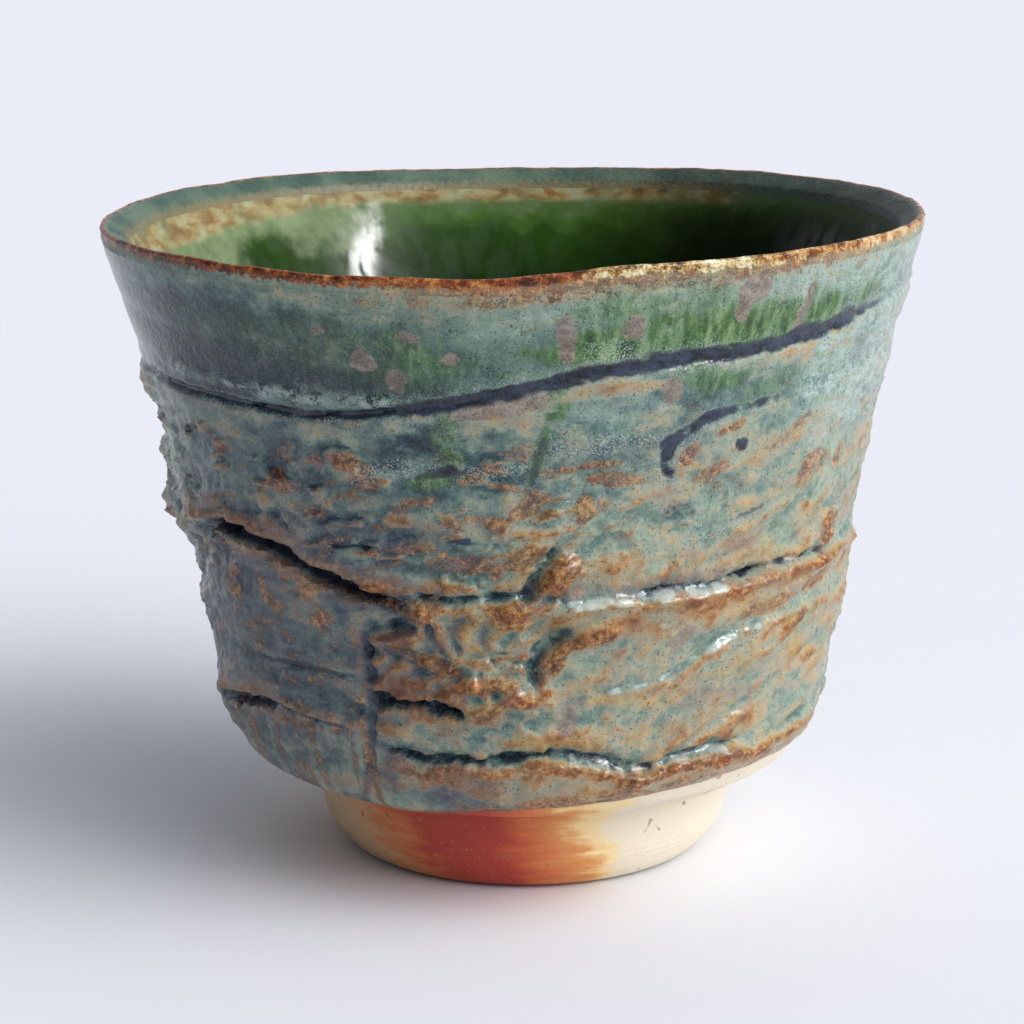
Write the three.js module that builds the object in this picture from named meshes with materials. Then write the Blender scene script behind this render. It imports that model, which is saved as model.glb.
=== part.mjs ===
// A small wheel-thrown sake cup: a stoneware body with a torn, ledged wall, a bare foot ring set round a low
// boss under its floor, and three coats of glaze (outside, lip and inside) that are fired onto the clay.
//
// Millimetres, +Z up. The cup stands on the plane z = 0 and the lip's centre is over the origin.
// Angles are degrees round the cup, 0 at the front (-Y) and growing towards +X.

import * as THREE from "three";

// The foot ring, from its hollow outwards, and the low peak that the turning tool leaves in the hollow.
const HOLLOW_RADIUS = 10.2;
const HOLLOW_DEPTH = 3.4;
const HOLLOW_PEAK = 0.7;
const REST_WIDTH = 4.0;
const FOOT_FLARE = 3.0;
const FOOT_HEIGHT = 7.2;

// The outside of the wall, glaze included. Each level is wider than the one below it, and lies above it, by these.
const HEM_OVERHANG = 5.2;
const HEM_RISE = 1.3;
const HIP_SWELL = 2.6;
const HIP_RISE = 4.7;
const BELLY_SWELL = 2.2;
const BELLY_RISE = 11.8;
const SHOULDER_SWELL = 2.1;
const SHOULDER_RISE = 13.0;
const LIP_FLARE = 3.7;
const LIP_RISE = 14.2;

// The clay under the glaze: the wall's thickness at each level, the floor, and the round corner between them.
const LIP_WALL = 0.9;
const SHOULDER_WALL = 2.6;
const BELLY_WALL = 3.4;
const HIP_WALL = 5.6;
const FLOOR_THICKNESS = 5.2;
const FLOOR_FLAT_RADIUS = 10.0;
const FLOOR_DISH = 0.6;
const CORNER_RISE = 4.4;

// The three coats of glaze, how far the lip's coat laps down, and the hairline between any two pieces.
const GLAZE = 0.6;
const LINING = 0.6;
const LIP_BAND = 1.3;
const BOND = 0.04;

// How far the hand-made form departs from a true turned one.
const FOOT_OFFSET = 1.3;
const LIP_TILT = 0.75;
const LIP_TILT_TOWARDS = 75;
const LIP_DIP = 0.5;
const LIP_DIP_AT = -10;
const LIP_DIP_WIDTH = 20;

// Ledges, tears and cuts in the wall. Each runs along points of [degrees, mm above the hem]. On a ledge the wall
// below the line stands out by step, on a tear the wall above it does, and run is how far that fades.
const LEDGES = [
  { step: 0.45, run: 5.0, path: [[-180, 33.1], [-140, 33.9], [-75, 33.1], [-30, 32.5], [-10, 34.1], [8, 36.0],
    [35, 36.3], [55, 37.9], [68, 38.4], [90, 37.9], [120, 36.3], [150, 34.1], [180, 33.1]] },
  { step: 0.95, run: 2.6, path: [[-18, 17.7], [8, 17.9], [40, 18.2], [58, 18.5], [98, 17.9]] },
  { step: 0.75, run: 2.6, path: [[9, 11.1], [15, 10.5], [26, 11.5], [35, 13.7], [50, 14.8], [90, 13.7]] },
  { step: 0.8, run: 2.2, path: [[-27, 5.3], [-12, 4.5], [3, 5.2], [18, 3.7], [48, 4.1], [100, 4.9]] },
  { step: 0.9, run: 4.0, path: [[104, 23.1], [136, 21.9], [166, 23.9]] },
  { step: 0.9, run: 4.0, path: [[-172, 12.5], [-140, 14.3], [-106, 12.9]] },
  { step: 0.8, run: 4.0, path: [[88, 8.9], [120, 10.5], [150, 9.3]] },
];
const TEARS = [
  { step: 0.85, run: 3.0, path: [[-72, 21.1], [-53, 21.8], [-42, 21.3], [-28, 19.1], [-17, 17.8]] },
  { step: 0.7, run: 2.4, path: [[-80, 5.5], [-60, 7.3], [-50, 7.8], [-36, 7.2], [-28, 6.8]] },
  { step: 0.7, run: 1.8, path: [[-27, 10.4], [-20, 10.3], [-13, 9.7], [-9, 9.2]] },
  { step: 0.9, run: 4.0, path: [[108, 11.9], [140, 9.7], [172, 11.5]] },
  { step: 0.9, run: 4.0, path: [[-164, 25.5], [-134, 24.1], [-98, 26.3]] },
];
const CUTS = [
  { depth: 1.4, width: 2.6, path: [[-66, 21.2], [-47, 21.5], [-35, 19.7], [-16, 17.4]] },
  { depth: 1.4, width: 2.4, path: [[-30, 9.9], [-20, 9.8], [-8, 8.6]] },
  { depth: 1.0, width: 2.2, path: [[-76, 5.4], [-64, 6.2], [-47, 7.4]] },
  { depth: 0.8, width: 2.2, path: [[-29, 6.0], [-12, 5.1], [3, 5.9], [18, 4.4], [45, 5.1]] },
  { depth: 0.7, width: 2.4, path: [[-34, 32.4], [-2, 34.8], [18, 36.3], [45, 37.2], [72, 38.5]] },
  { depth: 1.2, width: 2.4, path: [[110, 11.4], [140, 9.3], [170, 11.0]] },
  { depth: 1.2, width: 2.4, path: [[-162, 25.0], [-134, 23.6], [-102, 25.6]] },
];

// Lumps that stand on the wall, each at [degrees, mm above the hem], long and wide by half and turned from level.
const LUMPS = [
  { height: 0.9, long: 2.4, wide: 1.1, turn: 50, at: [5.2, 20.3] },
  { height: 0.7, long: 3.0, wide: 1.1, turn: 8, at: [-6.5, 11.5] },
  { height: 0.5, long: 3.4, wide: 1.1, turn: 45, at: [7, 14.0] },
  { height: 0.5, long: 2.6, wide: 1.2, turn: 60, at: [60, 20.5] },
  { height: 0.7, long: 3.0, wide: 1.3, turn: 0, at: [-76, 31.7] },
  { height: 0.6, long: 3.0, wide: 1.3, turn: 0, at: [-78, 25.0] },
  { height: 0.7, long: 3.0, wide: 1.4, turn: 0, at: [-80, 20.5] },
];

// How sharp a step's far side is, how far a line fades at its ends, how far the wall lies inside its levels where
// nothing stands out, and the height over which all of this dies away under the lip's coat.
const EDGE_SHARPNESS = 0.8;
const END_TAPER = 8;
const WALL_SINK = 0.4;
const LIP_FADE = 5.0;

// Mesh density.
const SEGMENTS = 72;
const WALL_ROWS = 34;
const LIP_ROWS = 2;
const BOWL_ROWS = 10;
const FOOT_ROWS = 5;

// Levels of the outside, each as a radius and a height

const above = (level, wider, higher) => new THREE.Vector2(level.x + wider, level.y + higher);

const restEdge = new THREE.Vector2(HOLLOW_RADIUS + REST_WIDTH, 0);
const footTop = above(restEdge, FOOT_FLARE, FOOT_HEIGHT);
const hem = above(footTop, HEM_OVERHANG, HEM_RISE);
const hip = above(hem, HIP_SWELL, HIP_RISE);
const belly = above(hip, BELLY_SWELL, BELLY_RISE);
const shoulder = above(belly, SHOULDER_SWELL, SHOULDER_RISE);
const lip = above(shoulder, LIP_FLARE, LIP_RISE);

// Departures from the turned form

const wrapDegrees = (degrees) => THREE.MathUtils.euclideanModulo(degrees + 180, 360) - 180;

// A line round the wall as a smooth height at each angle, with its first and last angle.
function reliefLine({ path, ...sizes }) {
  const angles = path.map(([degrees]) => degrees);
  const heights = path.map(([, height]) => height);
  const smooth = new THREE.CubicInterpolant(angles, heights, 1, new Float64Array(1));
  return { ...sizes, from: angles[0], to: angles.at(-1), heightAt: (degrees) => smooth.evaluate(degrees)[0] };
}

const ledgeLines = LEDGES.map(reliefLine);
const tearLines = TEARS.map(reliefLine);
const cutLines = CUTS.map(reliefLine);

// How strongly a line acts at an angle: it tapers at its two ends, unless it goes all round.
function lineStrength({ from, to }, degrees) {
  if (to - from >= 360) return 1;
  const rising = THREE.MathUtils.smoothstep(degrees, from, from + END_TAPER);
  return rising * (1 - THREE.MathUtils.smoothstep(degrees, to - END_TAPER, to));
}

// One step in the wall: sharp on the far side of its line, fading over its run on the near side.
function stepAcross(line, degrees, beyond) {
  const fade = beyond > 0 ? Math.exp(-beyond / EDGE_SHARPNESS) : Math.exp(beyond / line.run);
  return line.step * lineStrength(line, degrees) * fade;
}

// One cut in the wall: deepest on its line, and gone at its two sides.
function cutAcross(line, degrees, beyond) {
  const offset = beyond / (line.width / 2);
  return line.depth * lineStrength(line, degrees) * Math.exp(-offset * offset);
}

// One lump on the wall.
function lumpAt({ height, long, wide, turn, at }, degrees, above) {
  const middle = new THREE.Vector2();
  const place = new THREE.Vector2(THREE.MathUtils.degToRad(wrapDegrees(degrees - at[0])) * belly.x, above - at[1]);
  place.rotateAround(middle, -THREE.MathUtils.degToRad(turn));
  return height * Math.exp(-((place.x / long) ** 2) - (place.y / wide) ** 2);
}

// How far the wall stands out of its turned form. The lip's band stays true.
function relief(degrees, z) {
  const height = z - hem.y;
  const ledges = ledgeLines.map((line) => stepAcross(line, degrees, height - line.heightAt(degrees)));
  const tears = tearLines.map((line) => stepAcross(line, degrees, line.heightAt(degrees) - height));
  const cuts = cutLines.map((line) => cutAcross(line, degrees, height - line.heightAt(degrees)));
  const lumps = LUMPS.map((lump) => lumpAt(lump, degrees, height));
  const standing = Math.max(...ledges) + Math.max(...tears) + Math.max(...lumps);
  const trueLip = lip.y - LIP_BAND;
  const smoothLip = 1 - THREE.MathUtils.smoothstep(z, trueLip - LIP_FADE, trueLip);
  return smoothLip * (standing - Math.max(...cuts) - WALL_SINK);
}

// The lip isn't level: it tilts up to one side and dips at the front.
function lipWave(degrees) {
  const tilt = LIP_TILT * Math.cos(THREE.MathUtils.degToRad(degrees - LIP_TILT_TOWARDS));
  const fromDip = wrapDegrees(degrees - LIP_DIP_AT) / LIP_DIP_WIDTH;
  return tilt - LIP_DIP * Math.exp(-fromDip * fromDip);
}

// Turned forms

// Triangles of a turned solid. Every quad's diagonal leans the same way, whether its profile runs up or down,
// so that the back of a coat and the clay under it have the same facets.
function turnedFaces(profile) {
  const rows = profile.length;
  const faces = [];
  for (let i = 0; i < SEGMENTS; i++) {
    for (let j = 0; j < rows - 1; j++) {
      const near = i * rows + j;
      const far = near + rows;
      const rising = profile[j + 1].z > profile[j].z;
      if (rising) faces.push(near, far, near + 1, far + 1, near + 1, far);
      else faces.push(near, far, far + 1, far + 1, near + 1, near);
    }
  }
  return faces;
}

// A solid turned from a profile of { r, z } points, then given the hand-made departures. A point that follows
// the wall's relief also has wallHeight, the height on the wall's outside that it lies under.
function thrown(name, profile, material) {
  const outline = profile.map(({ r, z }) => new THREE.Vector2(r, z));
  const geometry = new THREE.LatheGeometry(outline, SEGMENTS).setIndex(turnedFaces(profile));
  const position = geometry.getAttribute("position");
  for (let i = 0; i < position.count; i++) {
    const { r, z, wallHeight } = profile[i % profile.length];
    const degrees = wrapDegrees((Math.floor(i / profile.length) / SEGMENTS) * 360);
    const angle = THREE.MathUtils.degToRad(degrees);
    const radius = r + (wallHeight === undefined ? 0 : relief(degrees, wallHeight));
    const lift = lipWave(degrees) * THREE.MathUtils.smoothstep(z, belly.y, lip.y);
    const lean = FOOT_OFFSET * (1 - z / lip.y);
    position.setXYZ(i, lean + radius * Math.sin(angle), -radius * Math.cos(angle), z + lift);
  }
  geometry.computeVertexNormals();
  const mesh = new THREE.Mesh(geometry, material);
  mesh.name = name;
  return mesh;
}

const steps = (from, to, count) => Array.from({ length: count + 1 }, (_, i) => from + ((to - from) * i) / count);

// A point at a share of a curve's length, moved square to it, to the left of the way it runs.
function inset(curve, share, distance) {
  const point = curve.getPointAt(share);
  const along = curve.getTangentAt(share);
  return { r: point.x - along.y * distance, z: point.y + along.x * distance };
}

// The outside of the glazed wall, from the hem up to where the lip's bead begins.
const clayTop = lip.y - GLAZE - BOND;
const wallCurve = new THREE.SplineCurve([hem, hip, belly, shoulder, new THREE.Vector2(lip.x, clayTop)]);

// The clay inside of the bowl, from the middle of its floor up to the lip.
const underside = footTop.y + BOND;
const floorTop = underside + FLOOR_THICKNESS;
const skin = GLAZE + BOND;
const bowlCurve = new THREE.SplineCurve([
  new THREE.Vector2(0, floorTop),
  new THREE.Vector2(FLOOR_FLAT_RADIUS, floorTop + FLOOR_DISH),
  new THREE.Vector2(hip.x - skin - HIP_WALL, floorTop + CORNER_RISE),
  new THREE.Vector2(belly.x - skin - BELLY_WALL, belly.y),
  new THREE.Vector2(shoulder.x - skin - SHOULDER_WALL, shoulder.y),
  new THREE.Vector2(lip.x - skin - LIP_WALL, clayTop),
]);

// The lip's coat takes over from the outer and inner coats a band below the lip.
const wallBand = 1 - LIP_BAND / wallCurve.getLength();
const bowlBand = 1 - LIP_BAND / bowlCurve.getLength();
const wallGap = BOND / wallCurve.getLength();
const bowlGap = BOND / bowlCurve.getLength();

const onWall = (share, depth) => ({ ...inset(wallCurve, share, depth), wallHeight: wallCurve.getPointAt(share).y });
const onBowl = (share, height) => inset(bowlCurve, share, height);

const wallRows = steps(0, wallBand, WALL_ROWS);
const bowlRows = steps(0, bowlBand, BOWL_ROWS).slice(1);
const wallLipRows = steps(wallBand, 1, LIP_ROWS).slice(1, -1);
const bowlLipRows = steps(bowlBand, 1, LIP_ROWS).slice(1, -1);

// The thrown wall and floor, with the boss below the floor that the foot ring is set round.
function clayBody(material) {
  const boss = HOLLOW_RADIUS - BOND;
  return thrown("clay_body", [
    { r: 0, z: HOLLOW_DEPTH - HOLLOW_PEAK },
    { r: boss, z: HOLLOW_DEPTH },
    { r: boss, z: underside },
    { r: footTop.x, z: underside },
    ...[...wallRows, ...wallLipRows].map((share) => onWall(share, skin)),
    { ...onWall(1, skin), z: clayTop },
    { ...onBowl(1, 0), z: clayTop },
    ...[...bowlRows, ...bowlLipRows].reverse().map((share) => onBowl(share, 0)),
    { r: 0, z: floorTop },
  ], material);
}

function footRing(material) {
  const side = new THREE.QuadraticBezierCurve(restEdge, new THREE.Vector2(footTop.x, restEdge.y), footTop);
  const outside = side.getPoints(FOOT_ROWS).map(({ x, y }) => ({ r: x, z: y }));
  const innerEdge = { r: HOLLOW_RADIUS, z: restEdge.y };
  return thrown("foot_ring", [innerEdge, ...outside, { r: HOLLOW_RADIUS, z: footTop.y }, innerEdge], material);
}

function outerGlaze(material) {
  const outside = wallRows.map((share) => onWall(share, 0));
  const inside = wallRows.map((share) => onWall(share, GLAZE)).reverse();
  return thrown("outer_glaze", [...outside, ...inside, outside[0]], material);
}

function innerGlaze(material) {
  const backs = bowlRows.map((share) => onBowl(share, BOND));
  const faces = bowlRows.map((share) => onBowl(share, BOND + LINING)).reverse();
  const middle = { r: 0, z: floorTop + BOND };
  return thrown("inner_glaze", [middle, ...backs, ...faces, { ...middle, z: middle.z + LINING }], material);
}

// A bead over the lip that closes the gap between the outer and inner coats.
function lipGlaze(material) {
  const wallSide = [wallBand + wallGap, ...wallLipRows];
  const bowlSide = [bowlBand + bowlGap, ...bowlLipRows];
  const outerEdge = onWall(1, 0);
  const innerEdge = onBowl(1, BOND + LINING);
  const profile = [
    ...wallSide.map((share) => onWall(share, 0)),
    { ...outerEdge, z: clayTop },
    { r: (outerEdge.r + innerEdge.r) / 2, z: lip.y },
    { ...innerEdge, z: clayTop },
    ...bowlSide.map((share) => onBowl(share, BOND + LINING)).reverse(),
    ...bowlSide.map((share) => onBowl(share, BOND)),
    { ...onBowl(1, BOND), z: clayTop + BOND },
    { ...onWall(1, GLAZE), z: clayTop + BOND },
    ...wallSide.map((share) => onWall(share, GLAZE)).reverse(),
  ];
  return thrown("lip_glaze", [...profile, profile[0]], material);
}

// Materials and assembly

const bareClay = new THREE.MeshStandardMaterial({ color: 0xe8d9bc, roughness: 0.85, metalness: 0 });
const flashedClay = new THREE.MeshStandardMaterial({ color: 0xc9693a, roughness: 0.7, metalness: 0 });
const greenAshGlaze = new THREE.MeshStandardMaterial({ color: 0x6f8375, roughness: 0.35, metalness: 0 });
const ironLip = new THREE.MeshStandardMaterial({ color: 0x7d4a26, roughness: 0.35, metalness: 0 });
const greenGlass = new THREE.MeshStandardMaterial({ color: 0x3f7039, roughness: 0.12, metalness: 0 });

const cup = new THREE.Group();
cup.name = "sake_cup";
cup.add(
  clayBody(bareClay),
  footRing(flashedClay),
  outerGlaze(greenAshGlaze),
  lipGlaze(ironLip),
  innerGlaze(greenGlass),
);

export default cup;
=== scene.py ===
"""A small wheel-thrown sake cup, dressed as fired stoneware.

A torn and ledged wall under a runny ash glaze, a thin iron-brown lip, a green glass lining, and a bare foot
ring that the fire flashed red and orange. Lengths are millimetres until they reach a mesh, which is in
metres. Angles are degrees round the cup, 0 at the front (-Y) and growing towards +X.
"""

import logging
import math
from dataclasses import dataclass, field
from enum import Enum
from functools import partial, reduce
from typing import Any, ClassVar, Sequence

import bpy
import numpy as np
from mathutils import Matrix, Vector

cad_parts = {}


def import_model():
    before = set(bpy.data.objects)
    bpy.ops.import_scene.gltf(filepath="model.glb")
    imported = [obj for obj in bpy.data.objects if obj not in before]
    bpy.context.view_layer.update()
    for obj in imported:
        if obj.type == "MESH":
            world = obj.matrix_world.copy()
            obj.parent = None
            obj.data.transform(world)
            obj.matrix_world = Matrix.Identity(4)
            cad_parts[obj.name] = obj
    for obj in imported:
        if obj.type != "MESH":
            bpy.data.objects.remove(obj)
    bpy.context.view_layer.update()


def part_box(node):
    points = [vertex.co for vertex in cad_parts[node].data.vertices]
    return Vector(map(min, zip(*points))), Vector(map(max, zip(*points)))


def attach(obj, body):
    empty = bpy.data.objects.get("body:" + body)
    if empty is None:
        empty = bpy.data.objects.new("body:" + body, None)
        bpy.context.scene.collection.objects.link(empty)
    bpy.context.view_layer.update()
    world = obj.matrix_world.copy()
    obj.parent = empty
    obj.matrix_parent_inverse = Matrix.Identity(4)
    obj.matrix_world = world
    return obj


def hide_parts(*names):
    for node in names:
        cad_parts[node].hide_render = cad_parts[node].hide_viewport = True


LOG = logging.getLogger("sake_cup")
MM = 0.001
SPECK_SHIFT = (37.0, 11.0, 5.0)
SPECK_TO_GRAIN = 0.6

Array = np.ndarray
Object = bpy.types.Object
Mesh = bpy.types.Mesh
Material = bpy.types.Material
NodeTree = bpy.types.NodeTree
Socket = bpy.types.NodeSocket
Pair = tuple[float, float]
Triple = tuple[float, float, float]
Points = Sequence[Pair]
Colour = tuple[float, float, float, float]
Ramp = Sequence[tuple[float, Colour]]


# Curves and noise


def smooth_step(value: Array, low: float, high: float) -> Array:
    """Rises smoothly from 0 at low to 1 at high."""
    share = np.clip((value - low) / (high - low), 0.0, 1.0)
    return share * share * (3.0 - 2.0 * share)


def between(value: Array, low: float, high: float, edge: float) -> Array:
    """1 between low and high, fading to 0 over an edge outside them."""
    return smooth_step(value, low - edge, low) * (1.0 - smooth_step(value, high, high + edge))


def curve_through(points: Points, at: Array) -> Array:
    """Evaluates a smooth curve through points.

    Args:
        points: Pairs of (place, value) in rising order of place.
        at: Places to evaluate at.

    Returns:
        The values there, held level beyond the two ends.
    """
    places, values = np.array(points, float).T
    slopes = np.gradient(values, places)
    left = np.clip(np.searchsorted(places, at) - 1, 0, len(places) - 2)
    span = places[left + 1] - places[left]
    share = np.clip((at - places[left]) / span, 0.0, 1.0)
    rise = share * share * (3.0 - 2.0 * share)
    start_bend = slopes[left] * span * share * (1.0 - share) ** 2
    end_bend = slopes[left + 1] * span * share * share * (share - 1.0)
    return values[left] * (1.0 - rise) + values[left + 1] * rise + start_bend + end_bend


def round_the_cup(points: Points, degrees: Array) -> Array:
    """Evaluates a smooth closed curve round the cup through points of (degrees, value)."""
    turns = [(angle + turn, value) for turn in (-360, 0, 360) for angle, value in points]
    return curve_through(turns, degrees)


def wrapped(degrees: Array) -> Array:
    """Brings angles into -180 to 180."""
    return (degrees + 180.0) % 360.0 - 180.0


def blurred(values: Array, around: int, up: int) -> Array:
    """Softens a grid of values that closes round the cup.

    Args:
        values: One row for each column of the wall, one entry for each height.
        around: Half the width of the softening, in columns.
        up: Half its height, in rows.

    Returns:
        The softened grid, of the same shape.
    """
    soft = values
    for _ in range(2):
        soft = np.mean([np.roll(soft, step, axis=0) for step in range(-around, around + 1)], axis=0)
        padded = np.pad(soft, ((0, 0), (up, up)), mode="edge")
        soft = np.mean([padded[:, step : step + soft.shape[1]] for step in range(2 * up + 1)], axis=0)
    return soft


def terraced(value: Array, steps: float, edge: float) -> Array:
    """Turns smooth values into flat steps with short slopes between them.

    Args:
        value: Values about 0.
        steps: How many steps there are in a rise of 1.
        edge: Share of each step that its slope takes.

    Returns:
        The stepped values.
    """
    scaled = value * steps
    base = np.floor(scaled)
    return (base + smooth_step(scaled - base, 0.5 - 0.5 * edge, 0.5 + 0.5 * edge)) / steps


class ClayNoise:
    """Seeded smooth noise over the unrolled wall, in -1 to 1, which closes round the cup."""

    rows: int = 64

    def __init__(self, seed: int, girth: float) -> None:
        """Starts a run of noise layers.

        Args:
            seed: Fixes every layer that is drawn afterwards.
            girth: The wall's length round the cup, in mm.
        """
        self.random = np.random.default_rng(seed)
        self.girth = girth

    def layer(self, around: Array, up: Array, cell: Pair) -> Array:
        """Draws one layer.

        Args:
            around: Distance round the wall, in mm.
            up: Height, in mm.
            cell: Size of a noise cell round the wall and up it, in mm.

        Returns:
            The noise at each place.
        """
        columns = max(3, round(self.girth / cell[0]))
        lean = self.random.uniform(0.0, math.tau, (columns, self.rows))
        x = around / self.girth * columns
        y = up / cell[1]
        left = np.floor(x)
        low = np.floor(y)
        fx = x - left
        fy = y - low

        def corner(right: int, top: int) -> Array:
            """How far a place lies along one corner's own slope."""
            angle = lean[(left + right).astype(int) % columns, (low + top).astype(int) % self.rows]
            return np.cos(angle) * (fx - right) + np.sin(angle) * (fy - top)

        ease_x = fx**3 * (fx * (fx * 6.0 - 15.0) + 10.0)
        ease_y = fy**3 * (fy * (fy * 6.0 - 15.0) + 10.0)
        bottom = corner(0, 0) * (1.0 - ease_x) + corner(1, 0) * ease_x
        top = corner(0, 1) * (1.0 - ease_x) + corner(1, 1) * ease_x
        return 1.5 * (bottom * (1.0 - ease_y) + top * ease_y)

    def rough(self, around: Array, up: Array, cell: Pair, octaves: int = 3) -> Array:
        """Sums layers, each half as large and half as strong as the one before.

        Args:
            around: Distance round the wall, in mm.
            up: Height, in mm.
            cell: Size of the largest cells, in mm.
            octaves: How many layers.

        Returns:
            The noise at each place.
        """
        total = np.zeros_like(around)
        for octave in range(octaves):
            share = 0.5**octave
            total += share * self.layer(around, up, (cell[0] * share, cell[1] * share))
        return total


# The form that every piece shares


@dataclass(frozen=True)
class CupForm:
    """The turned form, and how the hand-made cup departs from it. Millimetres and degrees.

    Wall levels are points of (height, radius), and bowl levels of (radius, height). Lines are points of
    (degrees, value) round the cup. Spans are (from, to, fade). The first four sizes come from the frame.
    """

    lip_radius: float
    foot_radius: float
    foot_height: float
    foot_offset: float
    lip_height: float = 52.2
    lip_band: float = 1.3
    belly_radius: float = 27.5
    hollow_radius: float = 10.2
    hollow_depth: float = 3.4
    hollow_peak: float = 0.7
    lining: float = 0.55
    bond: float = 0.04
    coat_least: float = 0.65
    coat_torn: float = 1.85
    coat_levels: tuple[float, ...] = (10.5, 16.0, 39.0, 49.0)
    wall_levels: Points = (
        (7.2, 18.2), (7.9, 21.0), (8.6, 22.5), (10.4, 23.9), (13.2, 25.0), (18.0, 25.9), (25.0, 27.1),
        (31.0, 28.1), (38.0, 29.4), (42.0, 30.5), (46.0, 31.7), (52.0, 32.95),
    )
    bowl_levels: Points = (
        (0.0, 13.1), (10.0, 13.8), (15.5, 15.6), (18.6, 18.2), (20.6, 21.0), (22.5, 25.4), (25.4, 38.0),
        (27.6, 44.5), (30.95, 51.0),
    )
    lip_line: Points = (
        (-135, -0.2), (-90, -0.5), (-50, -0.35), (-12, -0.45), (0, -0.3), (10, 0.25), (28, 0.5), (90, 0.6),
        (135, 0.3), (180, -0.4),
    )
    lip_lift_from: float = 26.0
    run_line: Points = (
        (-150, 0.5), (-80, 0.6), (-60, 0.64), (-40, 0.58), (-20, 0.52), (0, 0.48), (15, 0.52), (30, 0.52),
        (60, 0.52), (120, 0.5),
    )
    ochre_span: Triple = (-30.0, 95.0, 22.0)
    # The shade span, middle and most set the painted shade inside the bowl, darkest on its right.
    shade_span: Triple = (-60.0, 42.0, 32.0)
    shade_middle: float = 100.0
    shade_most: float = 0.85
    ripple_seed: int = 3
    ripple_cell: Pair = (9.0, 7.0)

    @classmethod
    def from_frame(cls) -> "CupForm":
        """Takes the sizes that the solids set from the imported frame.

        Returns:
            The form.
        """
        foot_low, foot_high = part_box("foot_ring")
        lip_low, lip_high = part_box("lip_glaze")
        return cls(
            lip_radius=(lip_high.x - lip_low.x) / 2.0 / MM,
            foot_radius=(foot_high.x - foot_low.x) / 2.0 / MM,
            foot_height=foot_high.z / MM,
            foot_offset=(foot_high.x + foot_low.x) / 2.0 / MM,
        )

    @property
    def girth(self) -> float:
        """Length round the wall at the belly."""
        return math.tau * self.belly_radius

    def wall_radius(self, height: Array) -> Array:
        """Radius of the smooth outside at a height."""
        return curve_through(self.wall_levels, height)

    def coat_depth(self, height: Array) -> Array:
        """Finds how deep the torn coat reaches into the wall: it is thin at its hem and under the lip.

        Args:
            height: Heights on the wall.

        Returns:
            The depth at each.
        """
        hem, full, fading, lip = self.coat_levels
        torn = smooth_step(height, hem, full) * (1.0 - smooth_step(height, fading, lip))
        return self.coat_least + self.coat_torn * torn

    def lip_wave(self, degrees: Array) -> Array:
        """How far the lip lies above its mean height at an angle."""
        return round_the_cup(self.lip_line, degrees)

    def lip_run(self, degrees: Array) -> Array:
        """How thick the glaze is where it ran off the lip at an angle."""
        return round_the_cup(self.run_line, degrees)

    def ochre_share(self, degrees: Array) -> Array:
        """Where the ochre band runs round the inside: from the left to the right of the back."""
        return between(wrapped(degrees - 180.0), *self.ochre_span)

    def inner_shade(self, degrees: Array) -> Array:
        """How much painted shade darkens the inside at an angle: most on the right wall, which faces away
        from the window.
        """
        return self.shade_most * between(wrapped(degrees - self.shade_middle), *self.shade_span)

    def settle(self, degrees: Array, radius: Array, height: Array) -> Array:
        """Places turned points on the hand-made cup, which leans and has a wavy lip.

        Args:
            degrees: Angle of each point.
            radius: Distance of each from the turned form's axis.
            height: Height of each on the turned form.

        Returns:
            One row of x, y and z in mm for each point.
        """
        angle = np.radians(degrees)
        lean = self.foot_offset * (1.0 - height / self.lip_height)
        lift = self.lip_wave(degrees) * smooth_step(height, self.lip_lift_from, self.lip_height)
        x = lean + radius * np.sin(angle)
        y = -radius * np.cos(angle)
        return np.stack([x, y, height + lift], axis=-1)

    def settle_mesh(self, mesh: Mesh, ripple: float = 0.0) -> tuple[Array, Array]:
        """Gives a mesh that was turned true round Z the lean and lip of the hand-made cup.

        Args:
            mesh: The mesh, which is changed.
            ripple: How far its surface wanders in and out, away from the middle and the lip.

        Returns:
            The angle and the height that each vertex has on the turned form.
        """
        flat = np.empty(len(mesh.vertices) * 3, np.float32)
        mesh.vertices.foreach_get("co", flat)
        x, y, z = flat.reshape(-1, 3).T.astype(float) / MM
        degrees = np.degrees(np.arctan2(x, -y))
        radius = np.hypot(x, y)
        noise = ClayNoise(self.ripple_seed, self.girth)
        wander = noise.rough(degrees * self.girth / 360.0, z, self.ripple_cell)
        wander *= smooth_step(radius, 6.0, 16.0) * (1.0 - smooth_step(z, 45.0, 50.5))
        placed = self.settle(degrees, radius + ripple * wander, z)
        mesh.vertices.foreach_set("co", (placed * MM).astype(np.float32).ravel())
        mesh.update()
        return degrees, z


# Marks on the wall


class Coat(Enum):
    """What a mark on the glaze changes. The value names the attribute that the finish reads."""

    THICK = "thick"
    GREEN = "green"
    MAUVE = "mauve"
    NIGHT = "night"
    PALE = "pale"
    IRON = "iron"
    BLUE = "blue"
    FROST = "frost"
    WET_GLINT = "wet_glint"


@dataclass(frozen=True)
class Zone:
    """A part of the wall between two angles and two heights, each (from, to, fade)."""

    turn: Triple
    rise: Triple = (0.0, 60.0, 1.0)

    def share(self, wall: "WallGrid") -> Array:
        """1 inside the zone, fading to 0 outside."""
        return between(wall.degrees, *self.turn) * between(wall.height, *self.rise)


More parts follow.
